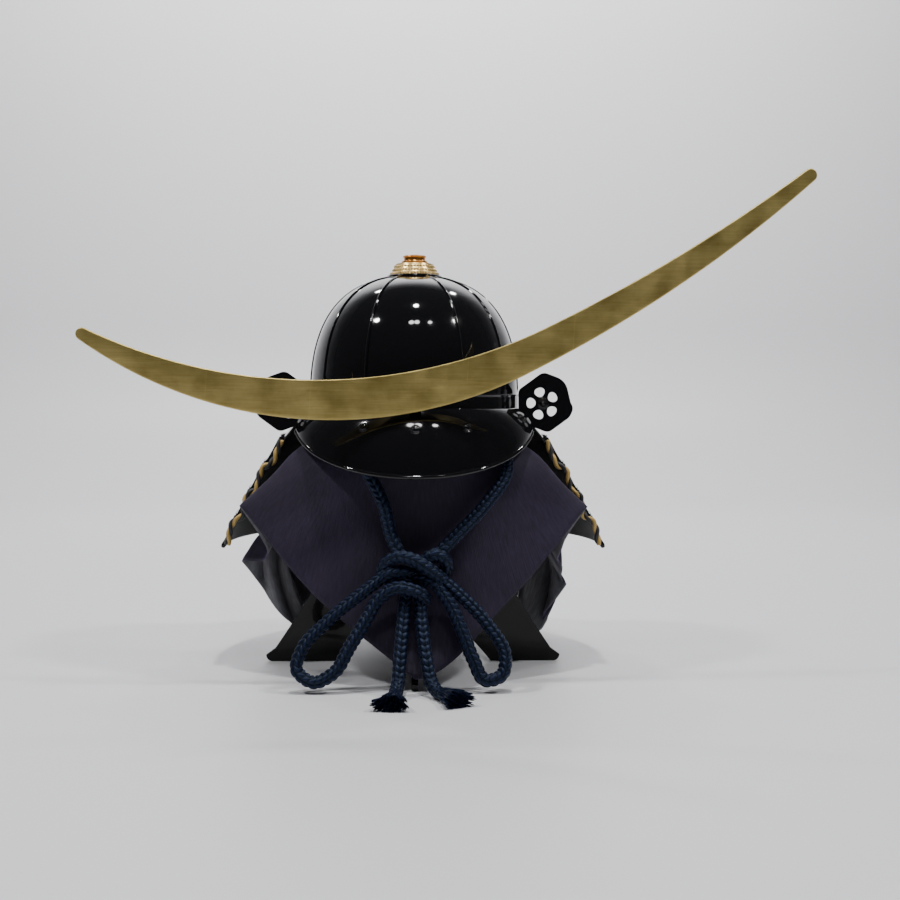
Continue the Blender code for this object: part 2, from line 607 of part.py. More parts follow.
def flower_holes():
    """Five egg-shaped petals round the flower's centre."""
    holes = []
    for petal in range(PETALS):
        turn = math.radians(FIRST_PETAL_DEG + petal * 360.0 / PETALS)
        along = np.array([math.cos(turn), math.sin(turn)])
        across = np.array([-along[1], along[0]])
        ring = []
        for t in np.linspace(0.0, 2 * math.pi, 10, endpoint=False):
            out = PETAL_RADIUS + PETAL_LENGTH / 2 * math.cos(t)
            wide = PETAL_WIDTH / 2 * math.sin(t) * (1.0 + PETAL_SWELL * math.cos(t))
            ring.append(tuple(along * out + across * wide))
        holes.append(ring)
    return holes


def build_ear_plates(collection):
    front_y = LAME_FACE_Y - FIT - EAR_PLATE
    for side, sign in (("left", -1.0), ("right", 1.0)):
        outline = rounded([(sign * x, z, r) for x, z, r in EAR_OUTLINE.values()])
        holes = [[(sign * x, z) for x, z in ring] for ring in flower_holes()]
        plate = flat_plate(f"fukigaeshi_{side}", outline, EAR_PLATE, "black_lacquer", collection, holes)
        stand_up(plate, front_y + EAR_PLATE / 2)
        plate.location.x = sign * EAR_CENTRE_X
        plate.location.z = EAR_CENTRE_Z
        as_mesh(plate, collection)
        centre = (sign * EAR_CENTRE_X, front_y - FIT, EAR_CENTRE_Z)
        dome(f"fukigaeshi_boss_{side}", BOSS_RADIUS, BOSS_HEIGHT, centre, (0.0, -1.0, 0.0), "black_lacquer",
             collection)


def board_half_width(z):
    """Half width of a stand board: a straight post that flares out to the feet as a power of depth."""
    down = max(0.0, 1.0 - z / FLARE_HEIGHT)
    return POST_HALF_WIDTH + (FOOT_HALF_SPAN - POST_HALF_WIDTH) * down**FLARE_POWER


def board_outline(slot_above):
    """A board's outline, with the slot for the other board above or below the middle. Half of it goes
    from the middle of the arch round the foot to the middle of the top, the rest is its mirror image."""
    slot = BOARD_THICKNESS / 2 + FIT
    top = HEAD_FOOT_Z - FIT
    arch = [(ARCH_HALF_SPAN * (1 - z / ARCH_HEIGHT) ** ARCH_POWER, z)
            for z in np.linspace(ARCH_HEIGHT, 0.0, 9)]
    toe = [(FOOT_HALF_SPAN - TOE_RADIUS * (1 - math.sin(t)), TOE_RADIUS * (1 - math.cos(t)))
           for t in np.linspace(0.0, math.pi / 2, 4)]
    side = [(board_half_width(z), z) for z in np.linspace(TOE_RADIUS * 2, FLARE_HEIGHT, 10)]
    half = arch[1:] + toe + side + [(POST_HALF_WIDTH, top)]
    if slot_above:
        half += [(slot, top), (slot, LAP_Z)]
        return half + [(-x, z) for x, z in reversed(half)] + [(0.0, ARCH_HEIGHT)]
    half = [(slot, LAP_Z + FIT), (slot, ARCH_HEIGHT)] + half
    return half + [(-x, z) for x, z in reversed(half)]


def build_stand(collection):
    wide, deep = (
        flat_plate("stand_board_" + name, board_outline(above), BOARD_THICKNESS, "stand_lacquer", collection)
        for name, above in (("wide", True), ("deep", False))
    )
    wide.rotation_euler = (math.pi / 2, 0.0, 0.0)
    deep.rotation_euler = (math.pi / 2, 0.0, math.pi / 2)
    as_mesh(wide, collection)
    as_mesh(deep, collection)
    rings = [(HEAD_RADIUS * math.sin(t), HEAD_EDGE_Z + (head_top() - HEAD_EDGE_Z) * math.cos(t))
             for t in np.linspace(0.0, math.pi / 2, HEAD_RINGS + 1)]
    waist = (HEAD_RADIUS, (2 * HEAD_EDGE_Z + HEAD_FOOT_Z) / 3)
    turned("stand_head", rings + [waist, (HEAD_FOOT_RADIUS, HEAD_FOOT_Z), (0.0, HEAD_FOOT_Z)],
           CLOTH_COLUMNS // 2, "plain_wood", collection, 0.0)


def cloth_crown():
    """Height of the cloth's upper face at its middle, close under the crown of the bowl."""
    return BOWL_SPRING_Z + BOWL_RISE - BOWL_WALL + CLOTH_BULGE


def head_top():
    return cloth_crown() - CLOTH_WALL - LOOSE_FIT


def cloth_fold(cut):
    """Where the line cut at an angle from the front corner passes the oval under the bowl (as an angle),
    its middle and its hem, read from the table and its mirror image."""
    rows = np.array(CLOTH_FOLDS)
    flip = np.array([-1.0, -1.0, -1.0, 1.0, 1.0, -1.0, 1.0, 1.0])
    full = np.array([360.0, 360.0, 0.0, 0.0, 0.0, 0.0, 0.0, 0.0])
    table = np.concatenate([rows, rows[-2:0:-1] * flip + full])
    sizes = np.array([CLOTH_HALF_SIDE, CLOTH_HALF_SIDE, BAND_FOOT_Z])
    degrees = np.degrees(cut) % 360.0
    at_rim = np.interp(degrees, np.append(table[:, 0], 360.0), np.append(table[:, 1], 360.0))
    middle = hermite(table[:, 0], table[:, 2:5] * sizes, degrees, 360.0)
    hem = hermite(table[:, 0], table[:, 5:8] * sizes, degrees, 360.0)
    return np.radians(at_rim), middle, hem


def bow(start, start_slope, end, end_slope, t):
    """Cubic from start to end with the slopes given, t from 0 to 1."""
    return ((2 * t**3 - 3 * t**2 + 1) * start + (t**3 - 2 * t**2 + t) * start_slope
            + (3 * t**2 - 2 * t**3) * end + (t**3 - t**2) * end_slope)


def cloth_point(cut, stage):
    """The cloth's upper face. cut is the angle from the front corner (radians). stage goes from 0 at
    the middle to 1 at the edge of the stand's head, over a quarter of an oval, to 2 at the oval under
    the bowl, to 3 at the middle of the hanging part and to 4 at its hem."""
    at_rim, middle, hem = cloth_fold(cut)
    radius, rise = HEAD_RADIUS + CLOTH_WALL + LOOSE_FIT, cloth_crown() - HEAD_EDGE_Z
    around = cut + (at_rim - cut) * (np.clip(stage, 0.0, 2.0) / 2.0) ** 2
    arc = np.clip(stage, 0.0, 1.0) * math.pi / 2
    on_head = np.stack([radius * np.sin(arc) * np.sin(around), -radius * np.sin(arc) * np.cos(around),
                        HEAD_EDGE_Z + rise * np.cos(arc)], axis=-1)
    x, y = oval(CLOTH_RIM_HALF_WIDTH, at_rim)
    rim = np.stack([x, y, np.full_like(x, BAND_FOOT_Z)], axis=-1)
    edge_z = np.full_like(x, HEAD_EDGE_Z)
    shoulder = np.stack([radius * np.sin(around), -radius * np.cos(around), edge_z], axis=-1)
    fall = np.array([0.0, 0.0, BAND_FOOT_Z - HEAD_EDGE_Z])
    lean = (middle - shoulder) / 2
    swing = (hem - rim) / 2
    t = (stage - np.ceil(stage) + 1.0)[..., None]
    legs = [on_head, bow(shoulder, fall, rim, lean, t), bow(rim, lean, middle, swing, t),
            bow(middle, swing, hem, 1.5 * (hem - middle) - swing / 2, t)]
    return np.select([(stage <= limit)[..., None] for limit in (1, 2, 3, 4)], legs)


def build_cloth(collection):
    cuts = np.linspace(0.0, 2 * math.pi, CLOTH_COLUMNS, endpoint=False)
    stages = [ring / HEAD_RINGS for ring in range(1, HEAD_RINGS + 1)] + list(CLOTH_HANG_STAGES)
    cut, stage = np.meshgrid(cuts, stages, indexing="ij")
    shell("cloth", cloth_point(cut, stage)[::-1], CLOTH_WALL, -1.0, "purple_silk", collection, around=True,
          pole=(0.0, 0.0, cloth_crown()))


def build_cord(collection):
    for name, route in CORD_ROUTES.items():
        points = resample(route, 2 * CORD_RADIUS * CORD_SPACING)
        tube(name, points, CORD_RADIUS, 2, "navy_braid", collection)
    mesh = bpy.data.meshes.new("cord_knot")
    work = bmesh.new()
    bmesh.ops.create_uvsphere(work, u_segments=12, v_segments=8, radius=1.0)
    bmesh.ops.scale(work, vec=KNOT_HALF_SIZES, verts=work.verts)
    work.to_mesh(mesh)
    work.free()
    knot = place(bpy.data.objects.new("cord_knot", mesh), "navy_braid", collection)
    knot.location = KNOT_CENTRE


def build_cord_rings(collection):
    for side, degrees in CORD_RING_DEG.items():
        angle = math.radians(degrees)
        x, y = oval(BOWL_HALF_WIDTH, np.array(angle), LOOSE_FIT + BAND_WALL / 2)
        across = Vector((math.cos(angle), PLAN_RATIO * math.sin(angle), 0.0)).normalized()
        centre = Vector((float(x), float(y), BAND_FOOT_Z - FIT - CORD_RING_RADIUS - CORD_RING_WIRE))
        points = [centre + CORD_RING_RADIUS * (math.cos(t) * across + math.sin(t) * Vector((0, 0, 1)))
                  for t in np.linspace(0.0, 2 * math.pi, 14, endpoint=False)]
        tube(f"cord_ring_{side}", points, CORD_RING_WIRE, 1, "pale_gilt", collection, closed=True)


def build_tassels(collection):
    """Each tassel lies on its side beyond its tail: a round neck, a waist, and a skirt of locks."""
    for side in ("left", "right"):
        route = np.array(CORD_ROUTES[f"cord_tail_{side}"])
        ahead = route[-1] - route[-2]
        ahead[2] = 0.0
        ahead /= np.linalg.norm(ahead)
        across = np.array([-ahead[1], ahead[0], 0.0])
        start = route[-1] + ahead * (LOOSE_FIT + FIT)
        turn = np.linspace(0.0, 2 * math.pi, 3 * TASSEL_LOCKS, endpoint=False)
        rings = []
        for share, swell, ripple in TASSEL_RINGS:
            scale = swell * (1.0 - ripple / 2 + ripple / 2 * np.cos(TASSEL_LOCKS * turn))
            wide = TASSEL_HALF_WIDTH[side] * scale * np.cos(turn)
            half_height = TASSEL_HALF_HEIGHT * max(swell, TASSEL_NECK_SHARE)
            high = np.maximum(half_height * (1.0 + scale / swell * np.sin(turn)), FIT)
            ring = start + ahead * TASSEL_LENGTH[side] * share + across * wide[:, None]
            ring[:, 2] = high
            rings.append(ring)
        points = np.array(rings).transpose(1, 0, 2)
        mesh = grid_surface(f"tassel_{side}", points, around=True)
        work = bmesh.new()
        work.from_mesh(mesh)
        bmesh.ops.holes_fill(work, edges=[e for e in work.edges if e.is_boundary])
        bmesh.ops.recalc_face_normals(work, faces=work.faces)
        work.to_mesh(mesh)
        work.free()
        place(bpy.data.objects.new(f"tassel_{side}", mesh), "navy_braid", collection)


def settle_origin(origin, collection):
    """Moves everything so that the origin lies under the middle of the box round all but the cord."""
    bpy.context.view_layer.update()
    graph = bpy.context.evaluated_depsgraph_get()
    corners = []
    for item in collection.objects:
        if item.type != "EMPTY" and not item.name.startswith(CORD_NAMES):
            made = item.evaluated_get(graph)
            corners += [made.matrix_world @ v.co for v in made.to_mesh().vertices]
            made.to_mesh_clear()
    corners = np.array(corners)
    low, high = corners.min(axis=0), corners.max(axis=0)
    origin.location = (-(low[0] + high[0]) / 2, -(low[1] + high[1]) / 2, -low[2])


def main():
    clear_scene()
    helmet = bpy.data.collections.new("samurai_helmet")
    bpy.context.scene.collection.children.link(helmet)
    origin = bpy.data.objects.new("helmet_origin", None)
    helmet.objects.link(origin)
    build_stand(helmet)
    build_cloth(helmet)
    build_bowl(helmet)
    build_band(helmet)
    build_tehen(helmet)
    build_peak(helmet)
    build_peak_rivets(helmet)
    build_crest(helmet)
    build_neck_guard(helmet)
    build_ear_laces(helmet)
    build_ear_plates(helmet)
    build_cord_rings(helmet)
    build_cord(helmet)
    build_tassels(helmet)
    settle_origin(origin, helmet)


main()
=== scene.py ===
"""Looks of a samurai helmet with a long crescent crest, on its stand of crossed boards.

Metres, in the model's frame: +Z up, and the helmet's front looks along -Y. The sections follow the way
the object is put together, from the room that it stands in and the stand's boards up to the crest,
and then the cord. Shapes are worked out round the stand's upright axis and moved to it at the end.
"""
import math

import bpy
import numpy as np
from mathutils import Matrix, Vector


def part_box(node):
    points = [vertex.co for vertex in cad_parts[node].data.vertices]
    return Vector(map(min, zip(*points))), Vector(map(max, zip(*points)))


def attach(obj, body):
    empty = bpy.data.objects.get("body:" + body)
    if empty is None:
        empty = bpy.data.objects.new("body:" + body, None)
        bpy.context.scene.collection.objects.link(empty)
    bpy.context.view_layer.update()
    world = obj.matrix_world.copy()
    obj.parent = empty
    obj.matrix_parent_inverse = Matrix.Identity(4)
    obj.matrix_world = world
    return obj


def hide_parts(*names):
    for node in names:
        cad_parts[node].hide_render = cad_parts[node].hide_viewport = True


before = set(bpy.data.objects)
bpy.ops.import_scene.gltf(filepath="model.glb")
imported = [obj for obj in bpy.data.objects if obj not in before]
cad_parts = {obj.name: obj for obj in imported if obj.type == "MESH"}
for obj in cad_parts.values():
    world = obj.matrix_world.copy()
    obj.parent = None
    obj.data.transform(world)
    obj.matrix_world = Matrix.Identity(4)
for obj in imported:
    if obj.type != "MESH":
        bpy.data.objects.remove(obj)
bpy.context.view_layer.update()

# ---- Room ---------------------------------------------------------------------------------------
# A plain pale floor that runs up into a back wall, soft studio lights above and in front, and the
# camera in the photograph's place, turned towards the helmet.

wide_low, wide_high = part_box("stand_board_wide")
deep_low, deep_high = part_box("stand_board_deep")
AXIS = np.array([(wide_low[0] + wide_high[0]) / 2, (deep_low[1] + deep_high[1]) / 2, 0.0])
CAMERA_PLACE = (-0.0135, -1.4034, 0.2754)
CAMERA_TURN_DEG = {"up": -2.13, "left": -2.10, "roll": -0.24}
CAMERA_LENS_MM = 53.3
FLOOR_SIZE = 14.0
WALL_Y = 2.6
WALL_BEND = 0.5
WALL_HEIGHT = 5.0


def node(material, kind, inputs=None, **settings):
    """Adds a shader node; inputs maps socket names to values or to other nodes' outputs."""
    made = material.node_tree.nodes.new("ShaderNode" + kind)
    for name, value in settings.items():
        setattr(made, name, value)
    for name, value in (inputs or {}).items():
        if isinstance(value, bpy.types.NodeSocket):
            material.node_tree.links.new(value, made.inputs[name])
        else:
            made.inputs[name].default_value = value
    return made


def socket(shader, key):
    """The shader's input with a name, written in small letters and with underscores."""
    return next(s for s in shader.inputs if s.name.lower().replace(" ", "_") == key)


def finish(name, colour, roughness, metallic=0.0, **sockets):
    """A material with one Principled shader, and that shader. Other sockets are set by their names."""
    material = bpy.data.materials.new(name)
    material.use_nodes = True
    shader = material.node_tree.nodes["Principled BSDF"]
    values = {"base_color": (*colour, 1.0), "roughness": roughness, "metallic": metallic, **sockets}
    for key, value in values.items():
        socket(shader, key).default_value = value
    return material, shader


def feed(material, shader, **sources):
    """Links other nodes' outputs to the shader's sockets, named as in finish."""
    for key, source in sources.items():
        material.node_tree.links.new(source, socket(shader, key))


def mesh_object(name, points, faces, corner_uv=None, material_index=None):
    """A smooth mesh object from arrays of points and corner indices, with the UV of each corner."""
    mesh = bpy.data.meshes.new(name)
    mesh.from_pydata(points.tolist(), [], faces.tolist())
    if corner_uv is not None:
        layer = mesh.uv_layers.new(name="uv")
        layer.data.foreach_set("uv", np.ascontiguousarray(corner_uv, dtype=np.float32).ravel())
    if material_index is not None:
        mesh.polygons.foreach_set("material_index", np.ascontiguousarray(material_index, dtype=np.int32))
    mesh.shade_smooth()
    made = bpy.data.objects.new(name, mesh)
    bpy.context.scene.collection.objects.link(made)
    return made


def arc_length(points):
    """Length run along a line of points, up to each of them."""
    return np.concatenate([[0.0], np.cumsum(np.linalg.norm(np.diff(points, axis=0), axis=1))])


def unit(vectors):
    """Vectors divided by their lengths."""
    vectors = np.asarray(vectors, float)
    return vectors / np.linalg.norm(vectors, axis=-1, keepdims=True)


def grid_quads(columns, rows, around):
    """Corner indices of a grid's quads, first for its points, then for its unwrapped UV points, which
    have one more column where the grid closes round."""
    i, j = np.meshgrid(np.arange(columns if around else columns - 1), np.arange(rows - 1), indexing="ij")
    i, j = i.ravel(), j.ravel()
    return tuple(np.stack([i * rows + j, after * rows + j, after * rows + j + 1, i * rows + j + 1], axis=1)
                 for after in ((i + 1) % columns, i + 1))


def grid_uv(points, around):
    """UV in metres: u runs on along the grid's middle row, v along its middle column."""
    ring = np.concatenate([points, points[:1]]) if around else points
    u, v = arc_length(ring[:, ring.shape[1] // 2]), arc_length(ring[len(ring) // 2])
    return np.stack(np.meshgrid(u, v, indexing="ij"), axis=-1)


def sheet_object(name, points, around=False):
    """A single surface from a grid of points [column, row, xyz]; its faces look where columns x rows does."""
    columns, rows = points.shape[:2]
    quads, unwrapped = grid_quads(columns, rows, around)
    uv = grid_uv(points, around).reshape(-1, 2)
    return mesh_object(name, points.reshape(-1, 3), quads, uv[unwrapped].reshape(-1, 2))


bend_turn = np.linspace(0.0, math.pi / 2, 12)
profile_x = np.array([-FLOOR_SIZE / 2, FLOOR_SIZE / 2])
profile_y = np.concatenate([[-FLOOR_SIZE / 2], WALL_Y - WALL_BEND * (1 - np.sin(bend_turn)), [WALL_Y]])
profile_z = np.concatenate([[0.0], WALL_BEND * (1 - np.cos(bend_turn)), [WALL_HEIGHT]])
room_points = np.stack(np.broadcast_arrays(profile_x[:, None], profile_y[None], profile_z[None]), axis=-1)
room = sheet_object("room_floor", room_points)
room_paint, _ = finish("pale_floor", (0.74, 0.74, 0.76), 0.45)
room.data.materials.append(room_paint)

up, left, roll = (math.radians(CAMERA_TURN_DEG[key]) for key in ("up", "left", "roll"))
camera = bpy.data.objects.new("camera", bpy.data.cameras.new("camera"))
camera.data.lens = CAMERA_LENS_MM
camera.matrix_world = (Matrix.Translation(AXIS + np.array(CAMERA_PLACE)) @ Matrix.Rotation(left, 4, "Z")
                       @ Matrix.Rotation(up, 4, "X") @ Matrix.Rotation(roll, 4, "Y")
                       @ Matrix.Rotation(math.pi / 2, 4, "X"))
bpy.context.scene.collection.objects.link(camera)
bpy.context.scene.camera = camera

for lamp_name, place, aim, size, power in (
    ("key_left", (-0.17, -1.43, 2.36), (0.0, -0.05, 0.3), (0.26, 0.20), 5.0),
    ("key_right", (0.10, -1.43, 2.36), (0.0, -0.05, 0.3), (0.26, 0.20), 5.0),
    ("spot_right", (0.70, -1.30, 2.30), (0.0, -0.05, 0.3), (0.18, 0.14), 3.0),
    ("overhead", (0.05, -0.42, 2.60), (0.0, -0.05, 0.1), (0.18, 0.18), 30.0),
    ("overhead_left", (-1.35, -0.55, 2.00), (0.0, 0.0, 0.2), (0.16, 0.16), 20.0),
    ("overhead_right", (1.45, -0.50, 2.00), (0.0, 0.0, 0.2), (0.16, 0.16), 20.0),
    ("behind_left", (-0.85, 1.35, 2.40), (0.0, 0.1, 0.2), (0.15, 0.15), 9.0),
    ("behind_right", (0.95, 1.30, 2.40), (0.0, 0.1, 0.2), (0.15, 0.15), 9.0),
    ("wall_wash", (0.0, 1.3, 2.6), (0.0, 2.6, 1.93), (3.0, 0.5), 95.0),
):
    lamp = bpy.data.objects.new(lamp_name, bpy.data.lights.new(lamp_name, "AREA"))
    lamp.data.shape = "RECTANGLE" if lamp_name == "wall_wash" else "ELLIPSE"
    lamp.data.size, lamp.data.size_y = size
    lamp.data.energy = power
    back = unit(np.array(place) - np.array(aim))
    side = unit(np.cross([0.0, 0.0, 1.0], back))
    turn = np.stack([side, np.cross(back, side), back], axis=1)
    lamp.matrix_world = Matrix.Translation(AXIS + np.array(place)) @ Matrix(turn.tolist()).to_4x4()
    bpy.context.scene.collection.objects.link(lamp)
room_light = bpy.data.worlds.new("room_light")
room_light.use_nodes = True
room_light.node_tree.nodes["Background"].inputs["Color"].default_value = (0.80, 0.82, 0.86, 1.0)
room_light.node_tree.nodes["Background"].inputs["Strength"].default_value = 0.07
bpy.context.scene.world = room_light

# ---- Stand boards -------------------------------------------------------------------------------
# Two boards of black lacquered wood, sawn to one outline with an arched underside and flaring feet,
# and pushed into one another by a slot in each, one from above and one from below.

BOARD_THICKNESS = 0.006
FIT = 0.0003
FOOT_HALF_SPAN = 0.155
POST_HALF_WIDTH = 0.048
FLARE_HEIGHT = 0.20
FLARE_POWER = 1.3
TOE_RADIUS = 0.007
ARCH_HALF_SPAN = 0.082
ARCH_HEIGHT = 0.065
ARCH_POWER = 0.645
LAP_Z = 0.165
BOARD_TOP_Z = 0.336 - FIT
BOARD_EDGE_ROUNDING = 0.0008
WELD_REACH = 0.00001
SHARP_ANGLE = math.radians(40.0)


def soften(made, width, segments):
    """Rounds a piece's sharp edges by a width."""
    made.data.set_sharp_from_angle(angle=SHARP_ANGLE)
    rounding = made.modifiers.new("rounded_edges", "BEVEL")
    rounding.width = width
    rounding.segments = segments
    rounding.limit_method = "ANGLE"
    rounding.angle_limit = SHARP_ANGLE
    rounding.harden_normals = True


def in_place(made, finishes, slot, *replaced, rounding=0.0, segments=2):
    """Gives a piece its finishes and rounds its sharp edges, moves its points to the stand's axis, sets it
    riding on the object's one body, and hides the CAD nodes that it stands for. Its slot is not used."""
    for one in finishes:
        made.data.materials.append(one)
    if rounding:
        soften(made, rounding, segments)
    made.data.transform(Matrix.Translation(AXIS))
    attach(made, "root")
    if replaced:
        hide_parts(*replaced)


def upright_plate(name, outline, thickness, front_y, holes=()):
    """A plate cut to an outline of x and z, with holes, whose front face is at front_y."""
    curve = bpy.data.curves.new(name, "CURVE")
    curve.dimensions = "2D"
    curve.fill_mode = "BOTH"
    curve.extrude = thickness / 2
    for ring in (outline, *holes):
        spline = curve.splines.new("POLY")
        spline.points.add(len(ring) - 1)
        corners = np.concatenate([np.array(ring), np.zeros((len(ring), 1)), np.ones((len(ring), 1))], axis=1)
        spline.points.foreach_set("co", corners.astype(np.float32).ravel())
        spline.use_cyclic_u = True
    drawn = bpy.data.objects.new(name + "_outline", curve)
    bpy.context.scene.collection.objects.link(drawn)
    bpy.context.view_layer.update()
    mesh = bpy.data.meshes.new_from_object(drawn.evaluated_get(bpy.context.evaluated_depsgraph_get()))
    bpy.data.objects.remove(drawn, do_unlink=True)
    welded = bpy.data.objects.new(name, mesh)
    bpy.context.scene.collection.objects.link(welded)
    weld = welded.modifiers.new("weld", "WELD")
    weld.merge_threshold = WELD_REACH
    mesh.name = name
    upright = Matrix.Translation((0.0, front_y + thickness / 2, 0.0)) @ Matrix.Rotation(math.pi / 2, 4, "X")
    mesh.transform(upright)
    return welded


def board_outline(slot_above):
    """Outline of a board: an arch that narrows as a power of height, round toes, and a straight post
    that flares to the feet as a power of depth, with its slot above or below."""
    slot = BOARD_THICKNESS / 2 + FIT
    arch_z = np.linspace(ARCH_HEIGHT, 0.0, 41)
    arch = np.stack([ARCH_HALF_SPAN * (1 - arch_z / ARCH_HEIGHT) ** ARCH_POWER, arch_z], axis=1)
    turn = np.linspace(0.0, math.pi / 2, 9)
    toe = np.stack([FOOT_HALF_SPAN - TOE_RADIUS * (1 - np.sin(turn)), TOE_RADIUS * (1 - np.cos(turn))],
                   axis=1)
    side_z = np.linspace(TOE_RADIUS * 2, FLARE_HEIGHT, 49)
    flare = (FOOT_HALF_SPAN - POST_HALF_WIDTH) * np.maximum(0.0, 1 - side_z / FLARE_HEIGHT) ** FLARE_POWER
    side = np.stack([POST_HALF_WIDTH + flare, side_z], axis=1)
    half = [arch[1:], toe, side, [(POST_HALF_WIDTH, BOARD_TOP_Z)]]
    if slot_above:
        half.append([(slot, BOARD_TOP_Z), (slot, LAP_Z)])
        middle = [(0.0, ARCH_HEIGHT)]
    else:
        half.insert(0, [(slot, LAP_Z + FIT), (slot, ARCH_HEIGHT)])
        middle = []
    half = np.concatenate([np.array(part) for part in half])
    return [*half.tolist(), *(half[::-1] * [-1.0, 1.0]).tolist(), *middle]


def object_place(material):
    """A point's place on the object."""
    return node(material, "TexCoord").outputs["Object"]


def noise(material, vector, scale, detail, **more):
    """Value of a noise, from 0 to 1."""
    inputs = {"Vector": vector, "Scale": scale, "Detail": detail, **more}
    return node(material, "TexNoise", inputs).outputs["Fac"]


def between(material, value, low, high, to_low, to_high):
    """A value stretched from one range to another, and held within it."""
    return node(material, "MapRange", {"Value": value, "From Min": low, "From Max": high,
                                       "To Min": to_low, "To Max": to_high}).outputs["Result"]


def mixed(material, factor, a, b, data_type="FLOAT", **settings):
    """Two values or colours mixed by a factor."""
    return node(material, "Mix", {"Factor": factor, "A": a, "B": b},
                data_type=data_type, **settings).outputs["Result"]


def ramp(material, value, low, high, dark, light):
    """A colour that goes from dark to light as a value goes from low to high."""
    made = node(material, "ValToRGB", {"Fac": value})
    for stop, position, colour in zip(made.color_ramp.elements, (low, high), (dark, light)):
        stop.position, stop.color = position, (*colour, 1.0)
    return made.outputs["Color"]


def bump(material, height, strength, distance, **below):
    """Normal of a relief, laid over another one's where Normal names that."""
    inputs = {"Height": height, "Strength": strength, "Distance": distance, **below}
    return node(material, "Bump", inputs).outputs["Normal"]


def lacquer(name, colour, roughness, waviness, coat):
    """Black lacquer: a deep dark ground under a clear coat, with faint waves in the coat, polishing
    haze in its gloss, and dust specks too small to see singly."""
    material, shader = finish(name, colour, roughness, coat_weight=coat, coat_roughness=0.04, ior=1.5,
                              specular_ior_level=0.12)
    place = object_place(material)
    haze = noise(material, place, 55.0, 5.0, Roughness=0.65)
    waves = bump(material, noise(material, place, 22.0, 1.0), waviness, 0.004)
    specks = bump(material, noise(material, place, 900.0, 2.0), 0.012, 0.0004, Normal=waves)
    feed(material, shader, normal=specks, coat_normal=waves,
         roughness=between(material, haze, 0.35, 0.75, roughness * 0.7, roughness * 1.9))
    return material


stand_lacquer = lacquer("stand_black_lacquer", (0.003, 0.003, 0.004), 0.14, 0.10, 0.3)
for board_name, slot_above, quarter_turn in (("wide", True, 0.0), ("deep", False, math.pi / 2)):
    board = upright_plate("lacquered_board_" + board_name, board_outline(slot_above), BOARD_THICKNESS,
                          -BOARD_THICKNESS / 2)
    board.data.transform(Matrix.Rotation(quarter_turn, 4, "Z"))
    in_place(board, [stand_lacquer], "stand_lacquer", "stand_board_" + board_name,
             rounding=BOARD_EDGE_ROUNDING)

# ---- Stand head ---------------------------------------------------------------------------------
# The domed block of pale, light wood on top of the boards, which the cloth and the helmet hide. It
# shows only from below, so it keeps the CAD solid and gets turned wood with rings.

head_wood, head_shader = finish("turned_paulownia", (0.42, 0.30, 0.19), 0.62)
rings = node(head_wood, "TexWave", {"Vector": object_place(head_wood), "Scale": 22.0, "Distortion": 3.0,
                                    "Detail": 3.0}, wave_type="RINGS").outputs["Fac"]
feed(head_wood, head_shader, normal=bump(head_wood, rings, 0.15, 0.0005),
     base_color=ramp(head_wood, rings, 0.0, 1.0, (0.30, 0.20, 0.12), (0.50, 0.37, 0.24)))
head_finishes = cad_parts["stand_head"].data.materials
head_finishes.clear()
head_finishes.append(head_wood)

# ---- Cloth --------------------------------------------------------------------------------------
# A square of dark purple silk with a grey satin lining and a stitched edge, laid over the stand's head
# by its middle; the edge strip is a lighter purple, a painted highlight of the hem catching the light.
# One corner hangs in front, one behind and one at each side, with the folds between.

CLOTH_HALF_SIDE = 0.32
CLOTH_WALL = 0.0011
CLOTH_RIM_HALF_WIDTH = 0.093
PLAN_RATIO = 1.15
HEAD_RADIUS = 0.0640
HEAD_EDGE_Z = 0.366
BAND_FOOT_Z = 0.2615
CLOTH_CROWN_Z = 0.4026
CLOTH_CLEARANCE = 0.0006
CLOTH_CUTS, CLOTH_STAGES = 432, 88
BIG_FOLD, SMALL_FOLD, SLANTING_FOLD = 0.0135, 0.0038, 0.0010
LOOSE_FROM, LOOSE_OVER = 0.88, 0.34
HEM_ROLL, HEM_STAGE, HEM_WIDTH = 0.0006, 3.93, 0.035
CLOTH_FOLDS = np.array((
    # cut, at rim, mid x, mid y, mid z, hem x, hem y, hem z
    (0.0, 0.0, 0.000, -0.353, 0.477, 0.000, -0.495, 0.050),
    (22.5, 32.0, 0.225, -0.334, 0.700, 0.300, -0.345, 0.321),
    (45.0, 62.0, 0.400, -0.185, 0.828, 0.550, -0.168, 0.640),
    (60.0, 76.0, 0.375, -0.070, 0.745, 0.485, -0.060, 0.470),
    (75.0, 88.0, 0.420, 0.040, 0.630, 0.538, 0.110, 0.330),
    (90.0, 98.0, 0.470, 0.150, 0.500, 0.415, 0.230, 0.090),
    (112.5, 116.0, 0.375, 0.235, 0.595, 0.378, 0.310, 0.130),
    (135.0, 132.0, 0.300, 0.310, 0.720, 0.320, 0.388, 0.360),
    (157.5, 156.0, 0.160, 0.365, 0.630, 0.200, 0.465, 0.290),
    (180.0, 180.0, 0.000, 0.385, 0.490, 0.000, 0.495, 0.055),
))


